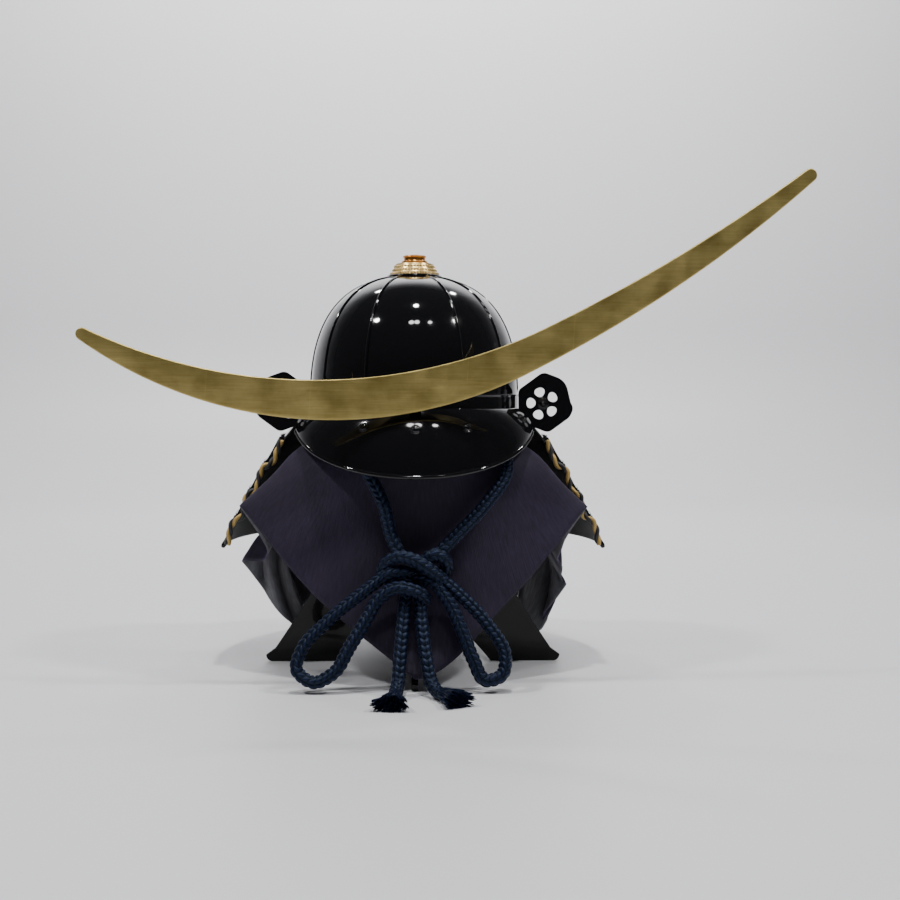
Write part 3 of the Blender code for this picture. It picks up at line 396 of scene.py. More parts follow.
def walled(name, outer, inner, around=False):
    """A closed solid between two grids of the same shape [column, row, xyz], with strips round its
    edges. Outer faces take material 0, inner ones 1 and the strips 2, as far as there are that many."""
    columns, rows = outer.shape[:2]
    count = columns * rows
    quads, unwrapped = grid_quads(columns, rows, around)
    uv = np.concatenate([grid_uv(outer, around).reshape(-1, 2), grid_uv(inner, around).reshape(-1, 2)])
    shift = len(uv) // 2
    i = np.arange(columns if around else columns - 1)
    after, last = (i + 1) % columns, rows - 1
    top = np.stack([after * rows, i * rows, i * rows + count, after * rows + count], axis=1)
    foot = np.stack([i * rows, after * rows, after * rows + count, i * rows + count], axis=1) + last
    top_uv = np.stack([(i + 1) * rows, i * rows, i * rows, (i + 1) * rows], axis=1)
    foot_uv = np.stack([i * rows, (i + 1) * rows, (i + 1) * rows, i * rows], axis=1) + last
    faces = [quads, quads[:, ::-1] + count, top, foot]
    corners = [unwrapped, unwrapped[:, ::-1] + shift, top_uv, foot_uv]
    if not around:
        j, end = np.arange(rows - 1), (columns - 1) * rows
        faces.append(np.stack([j, j + 1, j + 1 + count, j + count], axis=1))
        faces.append(np.stack([j + 1, j, j + count, j + 1 + count], axis=1) + end)
        corners.append(np.stack([j, j + 1, j + 1, j], axis=1))
        corners.append(np.stack([j + 1, j, j, j + 1], axis=1) + end)
    side = np.concatenate([np.zeros(len(quads)), np.ones(len(quads)), np.full(sum(map(len, faces[2:])), 2)])
    points = np.concatenate([outer.reshape(-1, 3), inner.reshape(-1, 3)])
    corner_uv = uv[np.concatenate(corners)].reshape(-1, 2)
    return mesh_object(name, points, np.concatenate(faces), corner_uv, side)


def grid_normals(points, around=False):
    """Unit normals of a grid: the cross product of its slopes along columns and rows."""
    if around:
        along = np.roll(points, -1, axis=0) - np.roll(points, 1, axis=0)
    else:
        along = np.gradient(points, axis=0)
    normals = np.cross(along, np.gradient(points, axis=1))
    return normals / np.maximum(np.linalg.norm(normals, axis=-1, keepdims=True), 1e-12)


def bow(start, start_slope, end, end_slope, t):
    """Cubic from start to end with the slopes given, t from 0 to 1."""
    return ((2 * t**3 - 3 * t**2 + 1) * start + (t**3 - 2 * t**2 + t) * start_slope
            + (3 * t**2 - 2 * t**3) * end + (t**3 - t**2) * end_slope)


def hermite(keys, values, at, closing=None):
    """Smooth curve through values at rising keys, with slopes from the neighbours on both sides.
    closing is the period, for values that come round again."""
    keys, values, at = np.asarray(keys, float), np.asarray(values, float), np.asarray(at, float)
    if closing:
        keys = np.concatenate([[keys[-1] - closing], keys, [keys[0] + closing]])
        values = np.concatenate([values[-1:], values, values[:1]])
    slopes = np.gradient(values, keys, axis=0)
    k = np.clip(np.searchsorted(keys, at, side="right") - 1, 0, len(keys) - 2)
    span = (keys[k + 1] - keys[k])[..., None]
    t = (at - keys[k])[..., None] / span
    return bow(values[k], span * slopes[k], values[k + 1], span * slopes[k + 1], t)


def oval(half_width, angle, z, offset=0.0):
    """Points at angles from the front on an oval of a half width, moved out along its normal, at z."""
    x, y = half_width * np.sin(angle), -half_width * PLAN_RATIO * np.cos(angle)
    nx, ny = np.sin(angle) * PLAN_RATIO, -np.cos(angle)
    size = np.hypot(nx, ny)
    return np.stack(np.broadcast_arrays(x + offset * nx / size, y + offset * ny / size, z), axis=-1)


def bell(x, centre, width):
    """A hump of height 1 at a centre, which falls off to both sides as the exponential of a square."""
    return np.exp(-(((x - centre) / width) ** 2))


def cloth_point(cut, stage):
    """The cloth's upper face. cut is the angle from the front corner. stage goes from 0 at the middle
    to 1 at the edge of the stand's head, over a quarter of an oval, to 2 at the oval under the bowl,
    to 3 at the middle of the hanging part and to 4 at its hem, each over a cubic."""
    mirrored = np.array([-1.0, -1.0, -1.0, 1.0, 1.0, -1.0, 1.0, 1.0])
    full_turn = np.array([360.0, 360.0, 0.0, 0.0, 0.0, 0.0, 0.0, 0.0])
    folds = np.concatenate([CLOTH_FOLDS, CLOTH_FOLDS[-2:0:-1] * mirrored + full_turn])
    sizes = np.array([CLOTH_HALF_SIDE, CLOTH_HALF_SIDE, BAND_FOOT_Z])
    degrees = np.degrees(cut) % 360.0
    at_rim = np.radians(np.interp(degrees, np.append(folds[:, 0], 360.0), np.append(folds[:, 1], 360.0)))
    middle = hermite(folds[:, 0], folds[:, 2:5] * sizes, degrees, 360.0)
    hem = hermite(folds[:, 0], folds[:, 5:8] * sizes, degrees, 360.0)
    radius, rise = HEAD_RADIUS + CLOTH_WALL + CLOTH_CLEARANCE, CLOTH_CROWN_Z - HEAD_EDGE_Z
    around = cut + (at_rim - cut) * (np.clip(stage, 0.0, 2.0) / 2.0) ** 2
    arc = np.clip(stage, 0.0, 1.0) * math.pi / 2
    on_head = np.stack([radius * np.sin(arc) * np.sin(around), -radius * np.sin(arc) * np.cos(around),
                        HEAD_EDGE_Z + rise * np.cos(arc)], axis=-1)
    rim = oval(CLOTH_RIM_HALF_WIDTH, at_rim, BAND_FOOT_Z)
    shoulder = np.stack([radius * np.sin(around), -radius * np.cos(around),
                         np.full_like(around, HEAD_EDGE_Z)], axis=-1)
    fall = np.array([0.0, 0.0, BAND_FOOT_Z - HEAD_EDGE_Z])
    lean, swing = (middle - shoulder) / 2, (hem - rim) / 2
    t = (stage - np.ceil(stage) + 1.0)[..., None]
    legs = [on_head, bow(shoulder, fall, rim, lean, t), bow(rim, lean, middle, swing, t),
            bow(middle, swing, hem, 1.5 * (hem - middle) - swing / 2, t)]
    return np.select([(stage <= limit)[..., None] for limit in (1, 2, 3, 4)], legs)


def crumple(cut, stage):
    """Depth of the cloth's loose folds: a wave round the cloth whose phase wanders, which grows with the
    stage below the stand's head and dies out towards the front panel, with a shallow slanting one over
    all of the hanging part."""
    from_front = np.abs(np.angle(np.exp(1j * cut)))
    loose = np.clip((from_front - LOOSE_FROM) / LOOSE_OVER, 0.0, 1.0) ** 2
    growth = np.clip((stage - 1.5) / 2.2, 0.0, 1.0) ** 1.2
    wander = 1.3 * np.sin(2 * cut + 0.7) + 0.8 * np.sin(5 * cut + 0.9 * stage) + 0.35 * stage
    big = BIG_FOLD * np.sin(13 * cut + wander)
    small = SMALL_FOLD * np.sin(29 * cut - 1.7 * wander)
    hanging = np.clip(stage - 2.0, 0.0, 1.0)
    slanting = SLANTING_FOLD * np.sin(9 * cut + 5 * stage + 1.7 * np.sin(5 * cut)) * hanging
    return loose * growth * (big + small) + slanting


cuts = np.linspace(0.0, 2 * math.pi, CLOTH_CUTS, endpoint=False)
stages = np.linspace(0.004, 4.0, CLOTH_STAGES)
cut, stage = np.meshgrid(cuts, stages, indexing="ij")
cloth_outer = cloth_point(cut, stage)[::-1]
cloth_outward = grid_normals(cloth_outer, around=True)
cloth_outer = cloth_outer + cloth_outward * crumple(cut, stage)[::-1, :, None]
cloth_outward = grid_normals(cloth_outer, around=True)
cloth_inner = cloth_outer - cloth_outward * CLOTH_WALL
cloth_outer = cloth_outer + cloth_outward * HEM_ROLL * bell(stages, HEM_STAGE, HEM_WIDTH)[None, :, None]
cloth = walled("draped_cloth", cloth_outer, cloth_inner, around=True)


def silk(name, colour, thread, roughness, sheen_tint, sheen):
    """Plain-woven silk: warp and weft as two crossed waves on the UV map, slubs as noise drawn out
    along the threads, and a soft change of tone over the cloth."""
    material, shader = finish(name, colour, roughness, sheen_weight=sheen, sheen_roughness=0.35,
                              sheen_tint=(*sheen_tint, 1.0), specular_ior_level=0.35)
    uv = node(material, "UVMap", uv_map="uv").outputs["UV"]
    threads = {"Vector": uv, "Scale": thread, "Distortion": 0.6, "Detail Scale": 2.0}
    warp, weft = (node(material, "TexWave", threads, bands_direction=way).outputs["Fac"] for way in "XY")
    long_way = node(material, "Mapping", {"Vector": uv, "Scale": (900.0, 60.0, 1.0)}).outputs["Vector"]
    slubs = noise(material, long_way, 1.0, 3.0)
    cloudy = noise(material, object_place(material), 14.0, 3.0)
    tones = ramp(material, mixed(material, 0.4, slubs, cloudy), 0.32, 0.70,
                 [c * 0.62 for c in colour], [c * 1.45 for c in colour])
    weave = bump(material, mixed(material, 0.5, warp, weft), 0.22, 0.0004)
    feed(material, shader, base_color=tones, normal=bump(material, slubs, 0.10, 0.0006, Normal=weave))
    return material


# The third finish, on the cloth's edge strips, is a lighter purple: a painted highlight of the hem catching
# the light.
cloth_sides = (silk("purple_silk", (0.0165, 0.0110, 0.0285), 320.0, 0.72, (0.35, 0.28, 0.55), 0.20),
               silk("grey_satin_lining", (0.105, 0.105, 0.118), 520.0, 0.38, (0.6, 0.6, 0.7), 0.25),
               silk("purple_silk_edge", (0.060, 0.042, 0.100), 320.0, 0.70, (0.35, 0.28, 0.55), 0.30))
in_place(cloth, cloth_sides, "purple_silk", "cloth")

# ---- Bowl ---------------------------------------------------------------------------------------
# Eleven bent iron plates, lacquered gloss black. One edge of each is turned up into a narrow rib over
# the next plate's edge, and riveted from inside. A plain lacquered band goes round their feet.

BOWL_HALF_WIDTH = 0.108
BOWL_SPRING_Z = 0.270
BOWL_RISE = 0.134
BOWL_SQUARENESS = 2.6
BOWL_WALL = 0.002
BOWL_FOOT_Z = 0.2645
BOWL_HOLE_RADIUS = 0.018
FRONT_PLATE_HALF_DEG = 26.0
SIDE_PLATES = 5
RIB_HEIGHT = 0.0014
RIB_WIDTH = 0.0024
RIB_ZONE = 1.6 * RIB_WIDTH
RIB_SHOULDER = 0.22
SEAM_GAP = 0.00015
BAND_WALL = 0.0016
BAND_TOP_Z = 0.282
BAND_GAP = 0.0005
BAND_ROLL = 0.0009
PLATE_ROUNDING = 0.0003

helmet_lacquer = lacquer("helmet_black_lacquer", (0.0045, 0.0045, 0.0055), 0.075, 0.16, 0.6)
turn = np.linspace(0.0, math.acos((BOWL_HOLE_RADIUS / BOWL_HALF_WIDTH) ** (BOWL_SQUARENESS / 2)), 60)
bowl_half = np.concatenate([[BOWL_HALF_WIDTH], BOWL_HALF_WIDTH * np.cos(turn) ** (2 / BOWL_SQUARENESS)])
bowl_z = np.concatenate([[BOWL_FOOT_Z], BOWL_SPRING_Z + BOWL_RISE * np.sin(turn) ** (2 / BOWL_SQUARENESS)])


def bowl_plate(name, start, end):
    """A plate between two seams. Heights follow a superellipse, plans an oval. Near its far edge the
    face rises by a half-round rib, whose height fades out above the band and under the crown piece."""
    body = np.linspace(0.0, 1.0, 26) ** 0.9
    across = (end - start) * bowl_half[None, :]
    rib_shares = np.linspace(0.0, 1.0, 15)
    from_end = np.concatenate([(1.0 - body)[:, None] * (across - RIB_ZONE) + RIB_ZONE,
                               (1.0 - rib_shares[1:, None]) * RIB_ZONE + 0.0 * across])
    angle = end - (from_end + SEAM_GAP) / bowl_half[None, :]
    angle = np.maximum(angle, start + SEAM_GAP / bowl_half[None, :])
    hump = np.clip(1.0 - (2.0 * from_end / RIB_WIDTH - 1.0) ** 2, 0.0, 1.0) ** 0.5
    shoulder = np.clip(1.0 - (from_end - RIB_WIDTH) / (0.6 * RIB_WIDTH), 0.0, 1.0) ** 3
    rib = np.maximum(hump, RIB_SHOULDER * shoulder * (from_end > RIB_WIDTH / 2))
    rib[-1] = 0.55
    fade = np.clip((bowl_z - BAND_TOP_Z) / 0.005, 0.0, 1.0) * np.clip((bowl_half - 0.027) / 0.004, 0.0, 1.0)
    base = oval(bowl_half[None, :], angle, bowl_z)
    outward = grid_normals(base)
    outer = base + outward * (rib * RIB_HEIGHT * fade)[..., None]
    return walled(name, outer, base - outward * BOWL_WALL)


def lacquered(made, *replaced, **edges):
    """Puts a piece of the helmet in place in its gloss black."""
    in_place(made, [helmet_lacquer], "black_lacquer", *replaced, **edges)


step = math.radians((180.0 - FRONT_PLATE_HALF_DEG) / SIDE_PLATES)
side_seams = math.radians(FRONT_PLATE_HALF_DEG) + step * np.arange(SIDE_PLATES + 1)
seams = np.concatenate([-side_seams[-2::-1], side_seams])
for number in range(len(seams)):
    end = seams[(number + 1) % len(seams)]
    plate = bowl_plate(f"lacquered_plate_{number + 1:02d}", seams[number],
                       end + (2 * math.pi if end < seams[number] else 0.0))
    lacquered(plate, f"bowl_plate_{number + 1:02d}", rounding=PLATE_ROUNDING)

# the band's section: a flat wall with a small roll at its foot and at its top
band_z = np.linspace(BAND_FOOT_Z, BAND_TOP_Z, 41)
band_roll = BAND_ROLL * (bell(band_z, BAND_FOOT_Z + 0.0012, 0.0012)
                         + 0.8 * bell(band_z, BAND_TOP_Z - 0.0010, 0.0010))
band_angle = np.linspace(0.0, 2 * math.pi, 240, endpoint=False)[:, None]
band = walled("lacquered_band",
              oval(BOWL_HALF_WIDTH, band_angle, band_z, BAND_GAP + BAND_WALL * 0.62 + band_roll),
              oval(BOWL_HALF_WIDTH, band_angle, band_z, BAND_GAP), around=True)
lacquered(band, "bowl_base_band", rounding=PLATE_ROUNDING)

# ---- Crown ornament -----------------------------------------------------------------------------
# A black lacquered ring, a pale gilt copper cone with three rows of raised beads, and a collar of
# redder gilt on top. They are pinned together through a hole in the crown, which stays open.

TEHEN_HOLE_RADIUS = 0.0065
BASE_HEIGHT = 0.0022
BASE_SECTION = ((0.0290, 0.0), (0.0290, 0.0009), (0.0287, 0.0014), (0.0280, 0.0018), (0.0270, 0.0020),
                (0.0262, BASE_HEIGHT), (0.0200, BASE_HEIGHT))
CONE_HEIGHT = 0.0115
CONE_FOOT_RADIUS, CONE_TAPER = 0.0265, 0.0070
BEAD_ROWS = (
    # beads, place up the cone's face, radius of a bead, radius of the row
    (52, 0.0022, 0.00125, 0.0255), (46, 0.0064, 0.00125, 0.0232), (40, 0.0106, 0.00115, 0.0212),
)


def ring_piece(name, section, relief, segments):
    """A bored solid turned round the axis: its section runs up through pairs of radius and height, and
    relief(angle, run) gives how far the face stands out at a length along the section."""
    angle = np.linspace(0.0, 2 * math.pi, segments, endpoint=False)[:, None]
    run = arc_length(section)
    radii, heights = np.asarray(section, float).T
    slope = np.stack([np.gradient(heights, run), -np.gradient(radii, run)])
    slope /= np.hypot(*slope)
    lift = relief(angle, run[None, :]) if relief else 0.0
    faces = ((radii + lift * slope[0], heights + lift * slope[1]),
             (np.full_like(heights, TEHEN_HOLE_RADIUS), heights))
    outer, inner = (np.stack(np.broadcast_arrays(r * np.sin(angle), -r * np.cos(angle), z + 0.0 * angle),
                             axis=-1) for r, z in faces)
    return walled(name, outer, inner, around=True)


def beads(angle, run):
    """Relief of the cone's rows of half-round beads, each row at a length along the section."""
    lift = np.zeros(np.broadcast(angle, run).shape)
    for count, place, bead, at_radius in BEAD_ROWS:
        across = ((angle * count / (2 * math.pi) + 0.5) % 1.0 - 0.5) * 2 * math.pi * at_radius / count
        lift = np.maximum(lift, np.sqrt(np.maximum(bead**2 - across**2 - (run - place) ** 2, 0.0)))
    return lift


def gilt(name, colour, roughness, worn):
    """Gilt metal: thin gold that is duller and browner in the hollows, with fine scratches."""
    material, shader = finish(name, colour, roughness, metallic=1.0)
    place = object_place(material)
    feed(material, shader,
         base_color=ramp(material, noise(material, place, 160.0, 4.0), 0.30, 0.62, worn, colour),
         normal=bump(material, noise(material, place, 1400.0, 2.0), 0.08, 0.0002))
    return material


pale_gilt = gilt("pale_gilt_copper", (0.80, 0.60, 0.27), 0.30, (0.50, 0.33, 0.12))
red_gilt = gilt("red_gilt_copper", (0.78, 0.38, 0.10), 0.26, (0.50, 0.20, 0.05))
crown_z = bowl_z[-1] + FIT
cone_share = np.linspace(0.0, 1.0, 60)
cone_section = np.stack([CONE_FOOT_RADIUS - CONE_TAPER * cone_share**0.62, CONE_HEIGHT * cone_share], axis=1)
cap_turn = np.linspace(-math.pi / 2, math.pi / 2, 13)
foot_roll = np.stack([0.0122 + 0.0013 * np.cos(cap_turn), 0.0016 + 0.0016 * np.sin(cap_turn)], axis=1)
top_roll = np.stack([0.0112 + 0.0010 * np.cos(cap_turn), 0.0073 + 0.0011 * np.sin(cap_turn)], axis=1)
cap_section = np.concatenate([foot_roll, [(0.0112, 0.0036)], top_roll, [(0.0102, 0.0086), (0.0095, 0.0088)]])
for piece, section, foot, relief, segments, ornament_finish, slot in (
    ("base", BASE_SECTION, crown_z, None, 128, helmet_lacquer, "black_lacquer"),
    ("cone", cone_section, crown_z + BASE_HEIGHT + FIT, beads, 480, pale_gilt, "pale_gilt"),
    ("cap", cap_section, crown_z + BASE_HEIGHT + CONE_HEIGHT + 2 * FIT, None, 128, red_gilt, "red_gilt"),
):
    ornament = ring_piece("crown_" + piece, np.array(section) + [0.0, foot], relief, segments)
    in_place(ornament, [ornament_finish], slot, "tehen_" + piece, rounding=PLATE_ROUNDING)

# ---- Peak ---------------------------------------------------------------------------------------
# A bent iron visor, lacquered gloss black, riveted to the band through five washers, with its edge
# rolled over into a thin round rim.

PEAK_END = math.radians(68.0)
PEAK_ROOT_Z = 0.268
PEAK_REACH = 0.026
PEAK_DROP = 0.0635
PEAK_WALL = 0.002
PEAK_RIM_RADIUS = 0.0022
PEAK_RIVETS_DEG = (-60.0, -22.5, 0.0, 22.5, 60.0)
PEAK_RIVET_SHARE = 0.37


def peak_points(angle, share):
    """The peak's upper face: it reaches out as a sine of the share of its way from the root to the rim
    and drops as a power of it, most of all in front."""
    forward = np.cos(angle)
    reach = PEAK_REACH * forward**0.45 * np.sin(share * math.pi / 2) ** 0.9
    z = PEAK_ROOT_Z - PEAK_DROP * forward**1.05 * share**1.15
    return oval(BOWL_HALF_WIDTH, angle, z, BAND_GAP + BAND_WALL + FIT + PEAK_WALL + reach)


def swept(name, path, radius, sides, closed=False, relief=None):
    """A tube along a path. Its rings stand square to the path and are carried along it without a twist,
    and its ends are rounded off. relief(turn, run) gives how far the face stands out, turn from 0 to 1
    round and run in metres along, and is kept as an attribute for the material."""
    path = np.asarray(path, float)
    radii = np.broadcast_to(np.asarray(radius, float), path.shape[:1])
    if not closed:
        # three shrinking rings at each end: how far out each lies and how wide it is, in radii
        shares = np.array([(0.42, 0.01), (0.36, 0.5), (0.22, 0.82)])
        start = path[0] + unit(path[0] - path[1]) * (shares[:, :1] * radii[0])
        end = path[-1] + unit(path[-1] - path[-2]) * (shares[::-1, :1] * radii[-1])
        path = np.concatenate([start, path, end])
        radii = np.concatenate([radii[0] * shares[:, 1], radii, radii[-1] * shares[::-1, 1]])
    after, before = np.roll(path, -1, axis=0), np.roll(path, 1, axis=0)
    along = unit(after - before if closed else np.gradient(path, axis=0))
    side = np.empty_like(along)
    side[0] = unit(np.cross(along[0], [0.31, 0.42, 0.85]))
    for i in range(1, len(along)):
        side[i] = unit(side[i - 1] - along[i] * side[i - 1].dot(along[i]))
    run = arc_length(path)
    turn = np.arange(sides)[None, :] / sides
    height = relief(turn, run[:, None]) if relief else np.zeros((len(path), sides))
    size = (radii[:, None] + height * np.minimum(radii / radii.max(), 1.0)[:, None])[..., None]
    spread = (side[:, None] * np.cos(2 * math.pi * turn)[..., None]
              + np.cross(along, side)[:, None] * np.sin(2 * math.pi * turn)[..., None])
    quads, _ = grid_quads(len(path) + (1 if closed else 0), sides + 1, False)
    column, row = np.divmod(quads, sides + 1)
    faces = (column % len(path)) * sides + row % sides
    length = np.append(run, run[-1] + np.linalg.norm(path[0] - path[-1]))
    corner_uv = np.stack([row / sides, length[column]], axis=-1)
    points = (path[:, None] + spread * size).reshape(-1, 3)
    made = mesh_object(name, points, faces[:, ::-1], corner_uv[:, ::-1].reshape(-1, 2))
    keep_relief(made, height / max(height.max(), 1e-9))
    return made


def keep_relief(made, values):
    """Keeps a value from 0 to 1 at each point of a piece, for its material, which darkens the colour where
    the value is low: painted shade in the hollows of cords and laces, and a random tone from strand to strand
    in the tassels' fringes.
    """
    kept = made.data.attributes.new("relief", "FLOAT", "POINT")
    kept.data.foreach_set("value", values.astype(np.float32).ravel())


peak_angle = np.linspace(-PEAK_END, PEAK_END, 161)[::-1, None]
peak_share = np.linspace(0.0, 1.0, 31)[None, :]
peak_outer = peak_points(peak_angle, peak_share)
peak = walled("lacquered_peak", peak_outer, peak_outer - grid_normals(peak_outer) * PEAK_WALL)
lacquered(peak, "peak", rounding=0.0004)
rim_angle = np.linspace(-PEAK_END, PEAK_END, 181)
near_edge, at_edge = (peak_points(rim_angle, share + 0.0 * rim_angle) for share in (0.9, 1.0))
outward_plan = np.stack([np.sin(rim_angle), -np.cos(rim_angle), 0.0 * rim_angle], axis=1)
rim_path = at_edge + unit(at_edge - near_edge) * (PEAK_RIM_RADIUS * 0.8) - outward_plan * PEAK_WALL / 2
peak_rim = swept("rolled_rim", rim_path, PEAK_RIM_RADIUS, 20)
lacquered(peak_rim, "peak_rim")


def stud(name, centre, outward, section, sides=40):
    """A stud turned round its own axis: section holds (radius, height) from its middle to its foot."""
    outward = unit(outward)
    side = unit(np.cross(outward, [0.12, 0.35, 0.93]))
    angle = np.linspace(0.0, 2 * math.pi, sides, endpoint=False)[:, None, None]
    spokes = np.cos(angle) * side + np.sin(angle) * np.cross(outward, side)
    section = np.asarray(section, float)[None]
    r, h = np.maximum(section[..., :1], 0.00002), section[..., 1:]
    points = np.asarray(centre, float) + r * spokes + h * outward
    return sheet_object(name, points[::-1], around=True)


def domed(radius, foot, rise, *collar):
    """Section of a stud: a quarter of an oval of a radius and rise on its foot, and then a collar."""
    turns = np.linspace(0.0, math.pi / 2, 12)
    return [(radius * math.sin(t), foot + rise * math.cos(t)) for t in turns] + [*collar]


rivet_section = domed(0.0036, 0.0008, 0.0018, (0.0040, 0.0006), (0.0044, 0.0009), (0.0048, 0.0008),
                      (0.0051, 0.0004), (0.0052, 0.0), (0.0051, -0.0004), (0.0, -0.0004))
for number, degrees in enumerate(PEAK_RIVETS_DEG, 1):
    spot, beside, below = (peak_points(np.array(math.radians(degrees) + a), np.array(PEAK_RIVET_SHARE + s))
                           for a, s in ((0.0, 0.0), (0.02, 0.0), (0.0, 0.05)))
    rivet = stud(f"rivet_{number}", spot, np.cross(below - spot, beside - spot), rivet_section)
    lacquered(rivet, f"peak_rivet_{number}")

# ---- Crest --------------------------------------------------------------------------------------
# A long lopsided crescent of wood covered in gold leaf, slipped by a socket behind it over a short
# black prong on the front of the band.

CREST_PLATE = 0.004
CREST_FRONT_Y = -0.145
CREST_LEFT_X = -0.312
CREST_RIGHT_X = 0.374
CREST_UPPER_ARCS = (-0.096, 0.7962, 0.5019, 0.1271, 1.5902)
CREST_LOWER_ARCS = (-0.0796, 0.6630, 0.4068, 0.1011, 1.2481)
CREST_ROUNDING = 0.0012
CREST_SWELL = 0.0004
PRONG_HALF_WIDTH = 0.006
PRONG_FOOT_Z, PRONG_TOP_Z = 0.2725, 0.296


def crest_edge(arcs, x):
    """Height of one edge of the crescent: an arc to the join, then a flatter one with the same slope."""
    centre_x, centre_z, left_radius, join_x, right_radius = arcs
    across = join_x - centre_x
    rise = math.sqrt(left_radius**2 - across**2)
    scale = right_radius / left_radius
    left = centre_z - np.sqrt(left_radius**2 - (np.minimum(x, join_x) - centre_x) ** 2)
    right = centre_z - rise + rise * scale - np.sqrt(right_radius**2 - (x - join_x + across * scale) ** 2)
    return np.where(x < join_x, left, right)


body_x = np.linspace(CREST_LEFT_X, CREST_RIGHT_X, 260)
crest_low, crest_high = crest_edge(CREST_LOWER_ARCS, body_x), crest_edge(CREST_UPPER_ARCS, body_x)
spine_line = np.stack([body_x, (crest_low + crest_high) / 2], axis=1)
slope = np.arctan2(np.gradient(spine_line[:, 1]), np.gradient(body_x))
half_wide = ((crest_high - crest_low) / 2 * np.cos(slope))[:, None]
square_to_it = np.stack([-np.sin(slope), np.cos(slope)], axis=1)
tip_turn = np.linspace(math.pi / 2, -math.pi / 2, 41)[1:-1]
right_way = np.stack([np.cos(slope[-1] + tip_turn), np.sin(slope[-1] + tip_turn)], axis=1)
left_way = -np.stack([np.cos(slope[0] + tip_turn), np.sin(slope[0] + tip_turn)], axis=1)
top_line, foot_line = spine_line + half_wide * square_to_it, spine_line - half_wide * square_to_it
crest_rim = np.concatenate([top_line, spine_line[-1] + half_wide[-1] * right_way,
                            foot_line[::-1], spine_line[0] + half_wide[0] * left_way])
crest_spine = np.concatenate([spine_line, np.repeat(spine_line[-1:], len(tip_turn), axis=0),
                              spine_line[::-1], np.repeat(spine_line[:1], len(tip_turn), axis=0)])
edge_turn = np.linspace(0.0, math.pi / 2, 7)
rounding_in = CREST_ROUNDING * (1 - np.cos(edge_turn))
rounding_back = CREST_ROUNDING * (1 - np.sin(edge_turn))
inward = crest_spine - crest_rim
depth_in = np.linalg.norm(inward, axis=1)[:, None]
flat_in = depth_in * np.array([0.2, 0.45, 0.75, 1.0])[None]
front_in = np.concatenate([rounding_in[None] + 0.0 * depth_in, flat_in], axis=1)
front_in = np.minimum(np.maximum.accumulate(front_in, axis=1), depth_in)
swell = CREST_SWELL * (1.0 - (front_in / depth_in) ** 0.5)
front_y = CREST_FRONT_Y + swell + np.concatenate([rounding_back, np.zeros(4)])[None]
back_in = front_in[:, ::-1]
back_y = CREST_FRONT_Y + CREST_PLATE - np.concatenate([np.zeros(4), rounding_back[::-1]]) + 0.0 * back_in
crest_in = np.concatenate([back_in, front_in], axis=1)
crest_plan = crest_rim[:, None] + inward[:, None] * (crest_in / depth_in)[..., None]
crest_y = np.concatenate([back_y, front_y], axis=1)
crest_points = np.stack([crest_plan[..., 0], crest_y, crest_plan[..., 1]], axis=-1)
crest = sheet_object("gilt_crescent", crest_points[::-1], around=True)


def gold_leaf_on_wood():
    """Gold leaf laid in squares, brushed lengthwise, with blotches and a few broad, more worn tones."""
    material, shader = finish("gold_leaf", (0.52, 0.37, 0.115), 0.40, metallic=0.82)
    place = object_place(material)
    lengthwise = node(material, "Mapping", {"Vector": place, "Scale": (30.0, 30.0, 620.0)}).outputs["Vector"]
    brushed = noise(material, lengthwise, 1.0, 4.0)
    blotches = noise(material, place, 38.0, 5.0, Roughness=0.6)
    leaf = ramp(material, mixed(material, 0.35, blotches, brushed), 0.36, 0.66,
                (0.46, 0.345, 0.105), (0.66, 0.520, 0.195))
    upright = node(material, "Mapping", {"Vector": place, "Rotation": (-math.pi / 2, 0.0, 0.06)})
    squares = node(material, "TexBrick", {"Vector": upright.outputs["Vector"], "Scale": 1.0,
                                          "Brick Width": 0.098, "Row Height": 0.098,
                                          "Mortar Size": 0.0007, "Mortar Smooth": 0.8,
                                          "Color1": (0.86, 0.86, 0.84, 1.0),
                                          "Color2": (1.0, 1.0, 1.0, 1.0),
                                          "Mortar": (1.0, 1.0, 0.95, 1.0)}).outputs["Color"]
    worn = between(material, noise(material, place, 7.0, 1.0), 0.38, 0.62, 1.0, 0.0)
    broad = mixed(material, worn, (0.84, 0.84, 0.80, 1.0), (1.0, 1.0, 1.0, 1.0), "RGBA")
    tones = leaf
    for shade in (squares, broad):
        tones = mixed(material, 1.0, tones, shade, "RGBA", blend_type="MULTIPLY")
    feed(material, shader, base_color=tones, roughness=between(material, blotches, 0.3, 0.7, 0.30, 0.46),
         normal=bump(material, brushed, 0.10, 0.0006))
    return material


in_place(crest, [gold_leaf_on_wood()], "gilt_crest", "crest_crescent")

prong_back = -(BOWL_HALF_WIDTH * PLAN_RATIO + BAND_GAP + BAND_WALL + FIT)
prong_front = CREST_FRONT_Y + CREST_PLATE + FIT
prong_outline = [(side * PRONG_HALF_WIDTH, z) for side, z in (
    (-1.0, PRONG_FOOT_Z), (1.0, PRONG_FOOT_Z), (1.0, PRONG_TOP_Z), (-1.0, PRONG_TOP_Z))]
prong = upright_plate("crest_prong_post", prong_outline, prong_back - prong_front, prong_front)
lacquered(prong, "crest_prong", rounding=0.0009, segments=3)

# ---- Neck guard ---------------------------------------------------------------------------------
# Five bent iron lames, lacquered black and dull inside, each lower one a little outside the one above,
# and laced to it.

LAMES = 5
LAME_WALL = 0.0018
LAME_STEP = 0.0031
LAME_OVERLAP = 0.007
LAME_TOP_Z, LAME_FOOT_Z = 0.266, 0.1245
LAME_FOOT_HALF_WIDTH = 0.1965
LAME_FLARE_POWER = 0.68
LAME_FRONT_Y = -0.036
LAME_FACE_Y = LAME_FRONT_Y - LAME_WALL * 0.3
LAME_LIP = 0.0012


